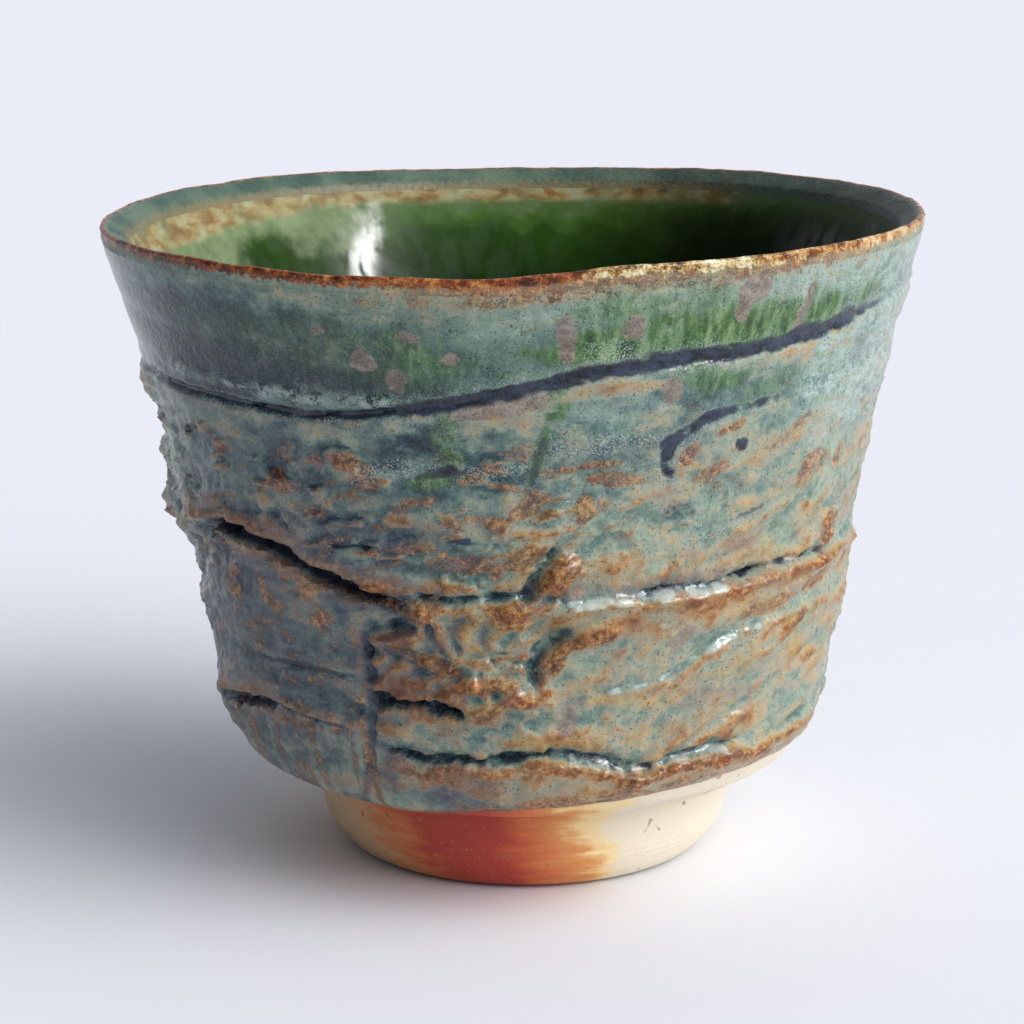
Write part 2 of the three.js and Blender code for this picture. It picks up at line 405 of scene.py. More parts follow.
@dataclass(frozen=True)
class Seam:
    """A line that runs round part of the wall, as points of (degrees, height)."""

    path: Points
    taper: float = 7.0
    torn: float = 1.0

    def across(self, wall: "WallGrid") -> Array:
        """Measures how far each point of the wall lies above the line, square to it.

        Args:
            wall: The wall's grid.

        Returns:
            The distances, negative below the line.
        """
        angles = [angle for angle, _ in self.path]
        near = np.clip(wall.column_degrees, angles[0], angles[-1])
        height = curve_through(self.path, near)
        slope = np.gradient(height, wall.column_around)
        return (wall.height - height[:, None]) / np.hypot(1.0, slope)[:, None]

    def strength(self, wall: "WallGrid") -> Array:
        """Fades the line out at its two ends, unless it runs all round.

        Args:
            wall: The wall's grid.

        Returns:
            1 along the line, and 0 beyond it.
        """
        first, last = self.path[0][0], self.path[-1][0]
        if last - first >= 360:
            return np.ones_like(wall.degrees)
        begin = smooth_step(wall.degrees, first, first + self.taper)
        return begin * (1.0 - smooth_step(wall.degrees, last - self.taper, last))


@dataclass(frozen=True)
class Ledge(Seam):
    """A step where the wall below the line stands out, or above it where it overhangs."""

    step: float = 0.8
    run: float = 4.0
    edge: float = 0.5
    overhangs: bool = False

    def relief(self, wall: "WallGrid") -> Array:
        """Finds how far the step lifts the wall.

        Args:
            wall: The wall's grid.

        Returns:
            The lift at each point: sharp on one side of the line, running out on the other.
        """
        beyond = self.across(wall) + self.torn * wall.ragged
        if self.overhangs:
            beyond = -beyond
        sharp = np.exp(-((beyond / self.edge) ** 2))
        slow = np.exp(np.minimum(beyond, 0) / self.run)
        return self.step * self.strength(wall) * np.where(beyond > 0, sharp, slow)


@dataclass(frozen=True)
class Groove(Seam):
    """A cut along a line, with glaze pooled in it."""

    width: float = 0.8
    depth: float = 0.8
    night: float = 0.8

    def shape(self, wall: "WallGrid") -> Array:
        """Finds where the cut lies.

        Args:
            wall: The wall's grid.

        Returns:
            1 in the middle of the cut, falling to 0 at its uneven sides.
        """
        uneven = np.clip(1.0 + 1.1 * self.torn * wall.torn_edge, 0.45, 1.6)
        offset = np.abs(self.across(wall) + 0.6 * self.torn * wall.ragged) / (0.5 * self.width * uneven)
        return self.strength(wall) * np.exp(-(offset**3))


@dataclass(frozen=True)
class Scratch:
    """A short cut or ridge of any direction, as points of (degrees, height)."""

    path: Points
    width: float = 0.8
    rise: float = -0.6
    night: float = 0.6
    coat: Coat = Coat.NIGHT
    torn: float = 1.0
    spacing: float = 0.25

    def shape(self, wall: "WallGrid") -> Array:
        """Finds where the stroke lies, from dots along it.

        Args:
            wall: The wall's grid.

        Returns:
            1 along the stroke, falling to 0 at its sides and ends.
        """
        corners = np.array(self.path, float) * (wall.mm_per_degree, 1.0)
        along = np.concatenate([[0.0], np.cumsum(np.hypot(*np.diff(corners, axis=0).T))])
        places = np.arange(0.0, along[-1] + self.spacing, self.spacing)
        dots = [curve_through(np.stack([along, side], axis=-1), places) for side in corners.T]
        reach = 1.5 * self.width
        inside = (wall.around > dots[0].min() - reach) & (wall.around < dots[0].max() + reach)
        inside &= (wall.height > dots[1].min() - reach) & (wall.height < dots[1].max() + reach)
        gap_x = wall.around[inside][:, None] - dots[0]
        gap_y = wall.height[inside][:, None] - dots[1]
        gap = np.hypot(gap_x, gap_y).min(axis=1) + 0.8 * self.torn * wall.ragged[inside]
        shape = np.zeros_like(wall.around)
        shape[inside] = np.exp(-((np.abs(gap) / (0.5 * self.width)) ** 3))
        return shape


@dataclass(frozen=True)
class Patch:
    """A patch of one coat: an ellipse with a torn edge."""

    at: Pair
    half: Pair
    amount: float = 1.0
    turn: float = 0.0
    ragged: float = 0.5
    soft: float = 0.35

    def mask(self, wall: "WallGrid") -> Array:
        """Finds where the patch lies.

        Args:
            wall: The wall's grid.

        Returns:
            1 inside the patch, 0 outside.
        """
        turn = math.radians(self.turn)
        x = wrapped(wall.degrees - self.at[0]) * wall.mm_per_degree
        y = wall.height - self.at[1]
        along = (x * math.cos(turn) + y * math.sin(turn)) / self.half[0]
        across = (y * math.cos(turn) - x * math.sin(turn)) / self.half[1]
        edge = np.hypot(along, across) + self.ragged * wall.torn_edge
        return 1.0 - smooth_step(edge, 1.0 - self.soft, 1.0 + self.soft)


@dataclass(frozen=True)
class Lump:
    """A raised blob, or a pit where its height is negative. Its glaze is thin, so the iron shows."""

    at: Pair
    half: Pair
    height: float
    turn: float = 0.0
    iron: float = 0.8

    def shape(self, wall: "WallGrid") -> Array:
        """1 in the middle, falling to 0 at the rim."""
        return Patch(self.at, self.half, turn=self.turn, soft=0.7).mask(wall)


SHOULDER_LINE: Points = (
    (-180, 41.6), (-140, 42.4), (-100, 41.8), (-75, 41.6), (-58, 41.3), (-45, 41.2), (-30, 41.0),
    (-20, 41.6), (-10, 42.6), (0, 43.9), (8, 44.5), (20, 44.6), (35, 44.8), (45, 45.3), (55, 46.4),
    (68, 46.9), (90, 46.4), (120, 44.8), (150, 42.6), (180, 41.6),
)

LEDGES = (
    Ledge(SHOULDER_LINE, step=0.36, run=5.0, edge=0.8),
    # The long ledge at the belly, the slanted one under it, a fold between them, and the one above the hem
    Ledge(((-18, 26.2), (0, 26.5), (8, 26.3), (22, 26.5), (40, 26.7), (58, 27.0), (98, 26.4)),
          step=0.95, run=2.6, taper=42.0),
    Ledge(((9, 19.6), (15, 19.0), (20, 19.3), (26, 20.0), (30, 21.1), (35, 22.2), (50, 23.3), (90, 22.2)),
          step=0.75, run=2.6, taper=34.0),
    Ledge(((3, 22.6), (8, 23.8), (20, 24.9), (45, 25.0), (60, 24.8)), step=0.35, run=1.4, edge=0.4),
    Ledge(((-27, 13.8), (-12, 13.0), (3, 13.7), (10, 13.3), (18, 12.2), (35, 12.6), (48, 12.6), (80, 13.2)),
          step=0.8, run=2.2, taper=14.0),
    # The back
    Ledge(((100, 31.7), (136, 30.4), (170, 32.5)), step=0.85, taper=22.0),
    Ledge(((-176, 20.9), (-140, 22.8), (-102, 21.2)), step=0.85, taper=22.0),
    Ledge(((92, 17.5), (120, 19.0), (156, 17.6)), step=0.75, taper=22.0),
)

TEARS = (
    Ledge(((-72, 29.6), (-53, 30.3), (-42, 29.8), (-28, 27.6), (-17, 26.3)),
          step=0.85, run=3.0, edge=0.3, overhangs=True, torn=0.4),
    Ledge(((-80, 14.0), (-60, 15.8), (-50, 16.3), (-36, 15.7), (-28, 15.3)),
          step=0.7, run=2.4, edge=0.3, overhangs=True, torn=0.5),
    Ledge(((-27, 18.9), (-20, 18.8), (-13, 18.2), (-9, 17.7)),
          step=0.7, run=1.8, edge=0.25, overhangs=True, taper=3.0),
    # The back
    Ledge(((104, 20.7), (140, 18.2), (176, 20.3)), step=0.65, edge=0.3, overhangs=True, taper=18.0),
    Ledge(((-168, 34.3), (-134, 32.6), (-94, 35.0)), step=0.65, edge=0.3, overhangs=True, taper=18.0),
)

GROOVES = (
    # Along the shoulder
    Groove(SHOULDER_LINE, width=0.6, depth=0.25, night=0.25, torn=0.4),
    Groove(SHOULDER_LINE[3:9], width=0.8, depth=0.3, night=0.6, torn=0.5, taper=12.0),
    Groove(((-28, 41.1), (-16, 41.8), (-2, 43.3), (8, 44.2), (18, 44.8), (34, 45.3), (45, 45.7), (56, 46.5),
            (70, 47.0)), width=1.35, depth=0.22, night=1.0, torn=0.45, taper=24.0),
    # Under the tears
    Groove(((-64, 29.8), (-47, 30.0), (-42, 29.4), (-35, 28.2), (-28, 27.1), (-17, 26.0)),
           width=1.25, depth=1.8, night=1.1, torn=0.4, taper=10.0),
    Groove(((-27, 18.4), (-20, 18.3), (-13, 17.7), (-9, 17.2)),
           width=1.25, depth=1.7, night=0.6, taper=2.5),
    Groove(((-74, 14.0), (-64, 14.7), (-56, 15.5), (-48, 15.9)), width=0.9, depth=1.2, night=0.6, torn=0.5),
    # Scored across the panel at the lower left
    Groove(((-56, 15.6), (-47, 15.9), (-40, 15.7), (-28, 15.2)),
           width=0.6, depth=0.25, night=0.6, torn=0.0),
    Groove(((-57, 19.3), (-45, 19.8), (-35, 19.9), (-26, 19.6)),
           width=0.65, depth=0.25, night=0.6, torn=0.0),
    # Above the hem and above the long ledge
    Groove(((-28, 14.4), (-20, 13.8), (-12, 13.6), (-4, 13.9), (3, 14.4), (8, 14.2), (13, 13.6), (18, 12.9),
            (22, 12.8), (28, 13.2), (35, 13.4), (44, 13.6)), width=0.9, depth=0.9, night=0.6),
    Groove(((-20, 26.9), (-5, 27.2), (2, 27.3), (8, 27.0)), width=0.7, depth=0.5, night=0.4, taper=4.0),
    Groove(((16, 27.2), (22, 27.4), (30, 27.3), (40, 27.6), (50, 27.9), (62, 27.7)),
           width=0.5, depth=0.5, night=0.8),
    # The back
    Groove(((112, 19.8), (140, 17.8), (168, 19.4)), width=1.1, depth=1.4, taper=14.0),
    Groove(((-160, 33.4), (-134, 32.1), (-104, 34.0)), width=1.1, depth=1.5, taper=14.0),
    Groove(((100, 32.4), (136, 31.2), (168, 33.2)), width=0.6, depth=0.7),
    Groove(((-170, 21.8), (-140, 23.6), (-108, 22.2)), width=0.6, depth=0.7),
)

SCRATCHES = (
    # Blue beside the panel at the lower left and in the lee of the tears
    Scratch(((-26.5, 23.2), (-26.3, 19), (-27.5, 15), (-30, 11), (-33, 8.4)),
            width=0.9, rise=-0.4, night=0.95, torn=0.3, coat=Coat.BLUE),
    Scratch(((-62, 31.4), (-47.5, 31.3), (-41, 30.6), (-32.5, 29.3), (-19, 27.1)),
            width=1.7, rise=0.1, night=0.9, coat=Coat.BLUE),
    Scratch(((-26, 20.0), (-20, 19.9), (-13.5, 19.5), (-10, 18.8)),
            width=1.3, rise=0.1, night=0.8, coat=Coat.BLUE),
    # The hooked run below the shoulder at the right
    Scratch(((21.6, 38.6), (24, 39.3), (28, 40.2)), width=1.2, rise=-0.1, night=0.9, torn=0.8),
    Scratch(((27, 40.1), (30, 40.5), (34, 40.8), (40, 41.0)), width=0.8, rise=-0.1, night=0.75, torn=0.7),
    Scratch(((21.8, 38.9), (22.0, 37.7), (22.3, 36.5)), width=1.2, rise=-0.1, night=0.9, torn=0.7),
    # Cuts and ridges of the torn middle
    Scratch(((2, 20.6), (2.1, 22.0), (4.0, 23.3), (7.5, 24.3)), width=1.1, rise=-0.8, night=0.5),
    Scratch(((4.0, 20.0), (4.8, 21.6), (8, 23.4), (14, 24.3)),
            width=1.4, rise=0.45, night=0.7, coat=Coat.IRON),
    Scratch(((1.0, 27.3), (2.8, 29.0), (5.4, 30.9)), width=0.9, rise=-0.6, night=0.5),
    Scratch(((-29, 30.7), (-26, 30.8), (-23.5, 30.9)), width=0.6, rise=-0.2, night=0.8),
    Scratch(((-10, 31.5), (-8, 31.7), (-6.5, 31.5)), width=0.6, rise=-0.2, night=0.8),
    Scratch(((-9, 25.6), (-11, 24.6), (-10, 23.0)), width=0.9, rise=-0.4, night=0.7, coat=Coat.BLUE),
    Scratch(((-15, 24.6), (-14, 23.4), (-12.5, 22.3)), width=0.8, rise=-0.4, night=0.7, coat=Coat.BLUE),
    Scratch(((-5, 25.2), (-6, 23.6), (-4.5, 22.0)), width=0.8, rise=-0.4, night=0.7, coat=Coat.BLUE),
    Scratch(((-21, 24.5), (-19, 23.0), (-17, 21.0)), width=0.9, rise=-0.3, night=0.8, coat=Coat.BLUE),
    # The pale roll on the shoulder at the left
    Scratch(((-18, 42.5), (-30, 42.4), (-40, 42.5), (-58, 42.8)),
            width=1.1, rise=0.25, night=0.6, coat=Coat.PALE),
    # Wet edges of the ledges, glossier and with painted near-white highlights along them
    Scratch(((8, 26.7), (16, 26.8), (24, 27.0), (34, 27.1)), width=1.0, rise=0.1, night=1.1, coat=Coat.WET_GLINT),
    Scratch(((15, 19.3), (22, 19.9), (27, 20.7), (31, 21.8), (36, 22.7), (42, 23.2)),
            width=0.6, rise=0.0, night=0.8, coat=Coat.WET_GLINT),
    Scratch(((6, 13.9), (10, 13.8), (15, 13.1)), width=0.8, rise=0.1, night=1.1, coat=Coat.WET_GLINT),
    Scratch(((24, 12.9), (30, 13.1), (38, 13.3)), width=0.7, rise=0.1, night=1.1, coat=Coat.WET_GLINT),
    Scratch(((112, 31.9), (124, 31.3), (136, 31.0)), width=0.8, rise=0.1, night=0.9, coat=Coat.WET_GLINT),
    Scratch(((-160, 22.0), (-150, 22.8), (-138, 23.2)), width=0.8, rise=0.1, night=0.9, coat=Coat.WET_GLINT),
)

LUMPS = (
    Lump((5.2, 28.8), (2.3, 0.9), 0.95, turn=50),
    Lump((7.4, 28.6), (1.7, 0.35), 0.35, turn=58, iron=0.6),
    Lump((1.3, 30.9), (1.3, 0.5), 0.35, turn=5),
    Lump((-6.5, 20.0), (2.9, 0.8), 0.75, turn=8, iron=1.0),
    Lump((-5.0, 18.4), (2.4, 1.3), 0.4, iron=0.4),
    Lump((-1.5, 25.6), (1.3, 0.9), 0.45, iron=0.9),
    Lump((-16.5, 25.8), (1.3, 0.9), 0.35, iron=0.9),
    Lump((60.0, 29.0), (2.6, 1.0), 0.45, turn=60, iron=0.7),
    Lump((-25.0, 37.6), (1.3, 0.75), 0.35, turn=-12, iron=0.9),
    Lump((-38.0, 35.0), (1.2, 0.6), 0.3, turn=-8, iron=0.9),
    Lump((-27.5, 38.6), (1.6, 0.7), -0.4, turn=-10, iron=0.0),
    Lump((-38.0, 36.4), (0.9, 1.2), -0.35, turn=20, iron=0.0),
    Lump((-53.5, 31.4), (1.0, 0.6), -0.35, iron=0.0),
    Lump((-56.0, 27.6), (0.8, 1.0), -0.3, iron=0.5),
    Lump((-76.0, 40.2), (3.0, 1.1), 0.7, iron=0.1),
    Lump((-78.0, 33.5), (3.0, 1.2), 0.6, iron=0.2),
    Lump((-80.0, 29.0), (3.0, 1.3), 0.7, iron=0.2),
)

PATCHES: dict[Coat, tuple[Patch, ...]] = {
    # Where the glaze lies thicker, or thinner where the amount is negative
    Coat.THICK: (
        Patch((24, 29.0), (20, 1.6), -0.12, turn=1), Patch((34, 25.2), (22, 1.2), -0.12, turn=2),
        Patch((-9, 23.5), (7.0, 3.2), -0.10), Patch((40, 19.0), (22, 8.5), -0.08, turn=4, soft=0.6),
        Patch((14, 11.2), (24, 1.7), -0.08), Patch((12, 15.6), (12, 1.0), -0.06, soft=0.6),
        Patch((-10, 38.2), (6.5, 3.0), 0.24, soft=0.6), Patch((12, 38.0), (7.0, 2.6), 0.12, soft=0.7),
        Patch((-24, 31.0), (6.0, 5.0), 0.10, soft=0.8), Patch((-48, 45.5), (13, 3.6), 0.16, soft=0.7),
        # The patch at (-12, 10.8) thickens, so darkens, the glaze under the lowest ledge as painted shadow.
        Patch((-26, 45.2), (10, 2.6), 0.16, soft=0.8), Patch((-12, 10.8), (4.0, 2.2), 0.14, soft=0.6),
        Patch((-52, 22.0), (13, 7.0), 0.06, soft=0.7), Patch((-50, 36.0), (11, 5.0), 0.05, soft=0.7),
        Patch((-46, 12.0), (11, 3.0), 0.03, soft=0.7), Patch((14, 17.3), (11, 1.0), 0.10, soft=0.6),
        Patch((-22, 39.5), (5.0, 2.2), 0.07, soft=0.5),
        Patch((-2.5, 41.0), (3.2, 1.9), -0.2, turn=4, ragged=0.3),
        Patch((14.5, 43.1), (3.6, 0.5), -0.26, turn=2, ragged=0.3),
        Patch((21.6, 41.0), (1.1, 0.7), -0.22),
        Patch((-43, 44.3), (12.0, 1.0), 0.34, turn=-6.5, soft=0.8),
        Patch((-42, 44.6), (11, 1.8), 0.35, turn=-6.5, soft=0.9),
        Patch((46, 42.0), (16, 3.6), 0.12, soft=0.8), Patch((12, 42.0), (9, 1.8), 0.08, soft=0.8),
    ),
    # Green glass on the collar, and the drips below the shoulder
    Coat.GREEN: (
        Patch((30, 46.9), (11.5, 1.4), 1.0, turn=3, soft=0.6),
        Patch((20, 48.8), (5.0, 1.4), 0.6, soft=0.8), Patch((9, 46.0), (1.6, 1.0), 0.9, soft=0.6),
        Patch((-32, 46.6), (10.0, 1.8), 0.2, soft=0.8), Patch((-14, 45.6), (2.6, 1.4), 0.4, soft=0.8),
        Patch((5.8, 42.6), (0.9, 1.9), 0.9, turn=-8, ragged=0.3),
        Patch((3.4, 38.9), (0.55, 2.2), 1.0, turn=-16, ragged=0.3),
        Patch((-9.5, 39.5), (0.9, 2.8), 0.8, turn=-4), Patch((-11.5, 36.6), (2.2, 0.7), 1.0, turn=6),
        Patch((29, 43.2), (2.6, 1.0), 0.8, soft=0.6),
        Patch((39, 42.2), (3.2, 0.9), 0.4, turn=20, soft=0.6),
    ),
    # Matt skins, spots and runs
    Coat.MAUVE: (
        Patch((-2.2, 42.4), (3.0, 0.9), 0.75, turn=12, ragged=0.4),
        Patch((0.4, 38.9), (1.6, 0.9), 0.5, turn=30), Patch((21.6, 42.6), (1.0, 0.9), 0.8),
        Patch((-20, 45.7), (1.0, 1.0), 0.9), Patch((-16.0, 44.3), (0.8, 1.0), 0.8),
        Patch((-8.2, 46.3), (0.55, 0.6), 0.8), Patch((6.4, 47.9), (0.8, 1.0), 0.8),
        Patch((6.9, 46.2), (0.45, 1.3), 0.8), Patch((15.8, 47.6), (0.9, 0.9), 0.85),
        Patch((32.6, 49.8), (1.2, 1.3), 1.0, turn=-20, ragged=0.3),
        Patch((31.0, 48.2), (0.6, 1.1), 0.9, ragged=0.3),
        Patch((42.0, 47.4), (0.4, 1.9), 0.9, turn=-12, ragged=0.3), Patch((-13, 47.8), (0.8, 0.5), 0.6),
        Patch((-26, 48.0), (0.6, 0.5), 0.6), Patch((-10.5, 49.1), (0.7, 0.6), 0.5),
        Patch((33, 17.5), (6.5, 1.6), 0.5, turn=6, soft=0.8), Patch((8, 17.4), (1.6, 1.3), 0.6, turn=70),
        Patch((27, 23.2), (1.6, 0.9), 0.6, turn=50), Patch((38, 30.4), (2.6, 0.9), 0.5, turn=8),
        Patch((-40, 33.5), (7.0, 3.6), 0.35, soft=0.8),
    ),
    # Flat dark pools
    Coat.NIGHT: (
        Patch((3.2, 38.4), (0.5, 2.0), 0.5, turn=-16, ragged=0.5, soft=0.6),
        Patch((-9.6, 38.6), (0.7, 2.0), 0.4, turn=-4, ragged=0.6, soft=0.7),
        Patch((25, 33.2), (1.5, 0.9), 0.45), Patch((33.3, 33.8), (0.5, 0.9), 0.4),
        Patch((39.5, 32.6), (1.6, 0.3), 0.5, turn=15), Patch((34.6, 37.9), (0.75, 0.6), 0.8),
        Patch((39.2, 37.3), (0.5, 0.3), 0.5),
        Patch((-36, 32.6), (1.6, 0.6), 0.6, turn=-35, ragged=0.8, soft=0.7),
        Patch((-32, 35.8), (0.9, 1.3), 0.45, turn=15, ragged=0.8, soft=0.7),
        Patch((59, 43.5), (1.8, 1.5), 0.4, soft=0.7), Patch((-20, 23.9), (2.0, 0.5), 0.5, turn=20),
        Patch((-11, 37.0), (2.6, 0.5), 0.6, turn=6),
    ),
    # Pale ash on the collar, and painted sheen where the two sides turn away
    Coat.PALE: (
        Patch((52, 42.4), (5.0, 2.6), 0.8, soft=0.6), Patch((67, 42.6), (6.0, 3.6), 0.9, soft=0.7),
        Patch((52, 49.3), (18.0, 2.0), 0.9, soft=0.8), Patch((68, 46.0), (8.0, 5.0), 0.8, soft=0.8),
        Patch((4, 46.3), (18.0, 1.6), 0.32, soft=0.8), Patch((-24, 42.3), (7.0, 0.9), 0.3, soft=0.8),
        Patch((4, 49.0), (5.0, 1.2), 0.4, soft=0.8), Patch((57, 38.5), (4.0, 2.6), 0.5, soft=0.6),
        Patch((13, 41.6), (3.6, 0.9), 0.5, soft=0.6),
        Patch((-74, 36.0), (6.0, 6.0), 0.9, ragged=0.3, soft=0.8),
    ),
    # Iron strokes and spots
    Coat.IRON: (
        Patch((9.6, 34.0), (0.75, 1.1), 0.9, ragged=0.3), Patch((14.5, 36.2), (2.8, 0.5), 0.7, turn=-6),
        Patch((10.5, 37.4), (1.8, 0.3), 0.6, turn=8), Patch((-9.5, 33.2), (2.0, 0.4), 0.7, turn=10),
        Patch((-15, 34.6), (1.4, 0.4), 0.7, turn=10), Patch((-3.2, 33.2), (0.7, 0.45), 0.8, turn=35),
        Patch((0.8, 34.2), (1.8, 0.6), 0.7, turn=35), Patch((-25, 34.6), (1.6, 0.35), 0.6),
        Patch((25.5, 37.6), (1.1, 0.45), 0.8, turn=55), Patch((32, 39.3), (1.4, 0.4), 0.6, turn=25),
        Patch((29, 36.0), (1.8, 0.5), 0.5, turn=20), Patch((44, 38.0), (2.4, 0.5), 0.5, turn=30),
        Patch((51, 34.5), (2.6, 1.2), 0.5, turn=35), Patch((-16, 21.9), (2.6, 0.6), 0.7, turn=-18),
        Patch((-15, 30.9), (1.6, 0.4), 0.5, turn=8), Patch((-4, 30.0), (5.0, 0.7), 0.4, turn=4),
        Patch((60, 35.4), (1.2, 0.6), 0.7, turn=50), Patch((-57, 29.0), (1.6, 0.5), 0.6, turn=-30),
        Patch((-31, 27.4), (2.2, 0.35), 0.7, turn=-28), Patch((-22, 26.0), (1.6, 0.35), 0.8, turn=-28),
        Patch((-46, 14.9), (5.0, 0.45), 0.6, turn=2), Patch((-19, 12.4), (2.6, 0.45), 0.7, turn=-10),
        Patch((14, 11.4), (16, 1.2), 0.3, ragged=0.8, soft=0.8),
        Patch((44, 24.6), (5.0, 0.6), 0.6, turn=6), Patch((58, 25.4), (3.0, 0.6), 0.7, turn=10),
        Patch((6, 50.4), (8.0, 0.5), 0.6, ragged=0.8, soft=0.6),
        Patch((32, 50.8), (10.0, 0.5), 0.6, ragged=0.8, soft=0.6),
    ),
    # Painted shade on the cool left side and under the lowest ledge at the front left, and smoky pools and
    # bands
    Coat.BLUE: (
        # The patch at (-12, 11.2) is painted shadow under the lowest ledge.
        Patch((-12, 11.2), (6.0, 2.2), 0.7, soft=0.6), Patch((-22, 22.0), (4.0, 6.0), 0.4, soft=0.8),
        Patch((18, 38.0), (6.0, 1.6), 0.35, soft=0.8),
        Patch((-43, 44.3), (12.0, 1.1), 1.0, turn=-6.5, soft=0.8),
        Patch((-62, 46.0), (14, 5.0), 0.4, soft=0.8), Patch((-50, 35.0), (17, 7.0), 0.5, soft=0.8),
        Patch((-20, 31.8), (8, 1.6), 0.4, soft=0.8), Patch((-54, 19.0), (15, 9.0), 0.75, soft=0.7),
        Patch((22, 27.6), (10, 0.7), 0.6, soft=0.6),
    ),
    # Crystals that frosted on the glaze
    Coat.FROST: (
        Patch((-18, 37.0), (3.6, 0.8), 0.9, turn=12), Patch((-4.5, 37.2), (3.2, 0.6), 0.8, turn=10),
        Patch((13.5, 39.0), (4.0, 0.7), 0.9, turn=4), Patch((7.5, 33.8), (0.7, 2.2), 0.8, turn=-10),
        Patch((-40, 40.9), (7.0, 0.5), 0.8), Patch((21, 36.5), (2.2, 1.3), 0.4, soft=0.6),
        Patch((28, 31.2), (4.0, 0.8), 0.5), Patch((12.5, 46.2), (1.6, 0.7), 0.8),
        Patch((26.5, 45.8), (0.8, 0.35), 0.9),
    ),
}


# The wall's own grid


class WallGrid:
    """Points of the glazed outside, in columns that are closer together at the front, and in rows."""

    columns: int = 580
    rows: int = 156
    front_closeness: float = 0.35
    seed: int = 11
    hem_wander: float = 0.18
    raggedness: float = 0.3

    def __init__(self, form: CupForm, hem_line: Points, top: float) -> None:
        """Lays out the grid.

        Args:
            form: The cup's turned form.
            hem_line: Points of (degrees, height) of the glaze's lower edge.
            top: Height of its upper edge.
        """
        turn = np.linspace(-math.pi, math.pi, self.columns, endpoint=False)
        share = np.linspace(0.0, 1.0, self.rows)
        self.mm_per_degree = form.girth / 360.0
        self.noise = ClayNoise(self.seed, form.girth)
        self.column_degrees = np.degrees(turn - self.front_closeness * np.sin(turn))
        self.column_around = self.column_degrees * self.mm_per_degree
        level = np.zeros(self.columns)
        self.hem = round_the_cup(hem_line, self.column_degrees)
        self.hem += self.hem_wander * self.noise.rough(self.column_around, level, (5.0, 1.0), octaves=4)
        self.height = self.hem[:, None] * (1.0 - share) + top * share
        self.degrees = np.repeat(self.column_degrees[:, None], self.rows, axis=1)
        self.around = self.degrees * self.mm_per_degree
        self.ragged = self.raggedness * self.noise.rough(self.around, self.height, (4.0, 2.4), octaves=2)
        self.torn_edge = self.noise.rough(self.around, self.height, (2.6, 1.8))
        self.shoulder = curve_through(SHOULDER_LINE, self.degrees)


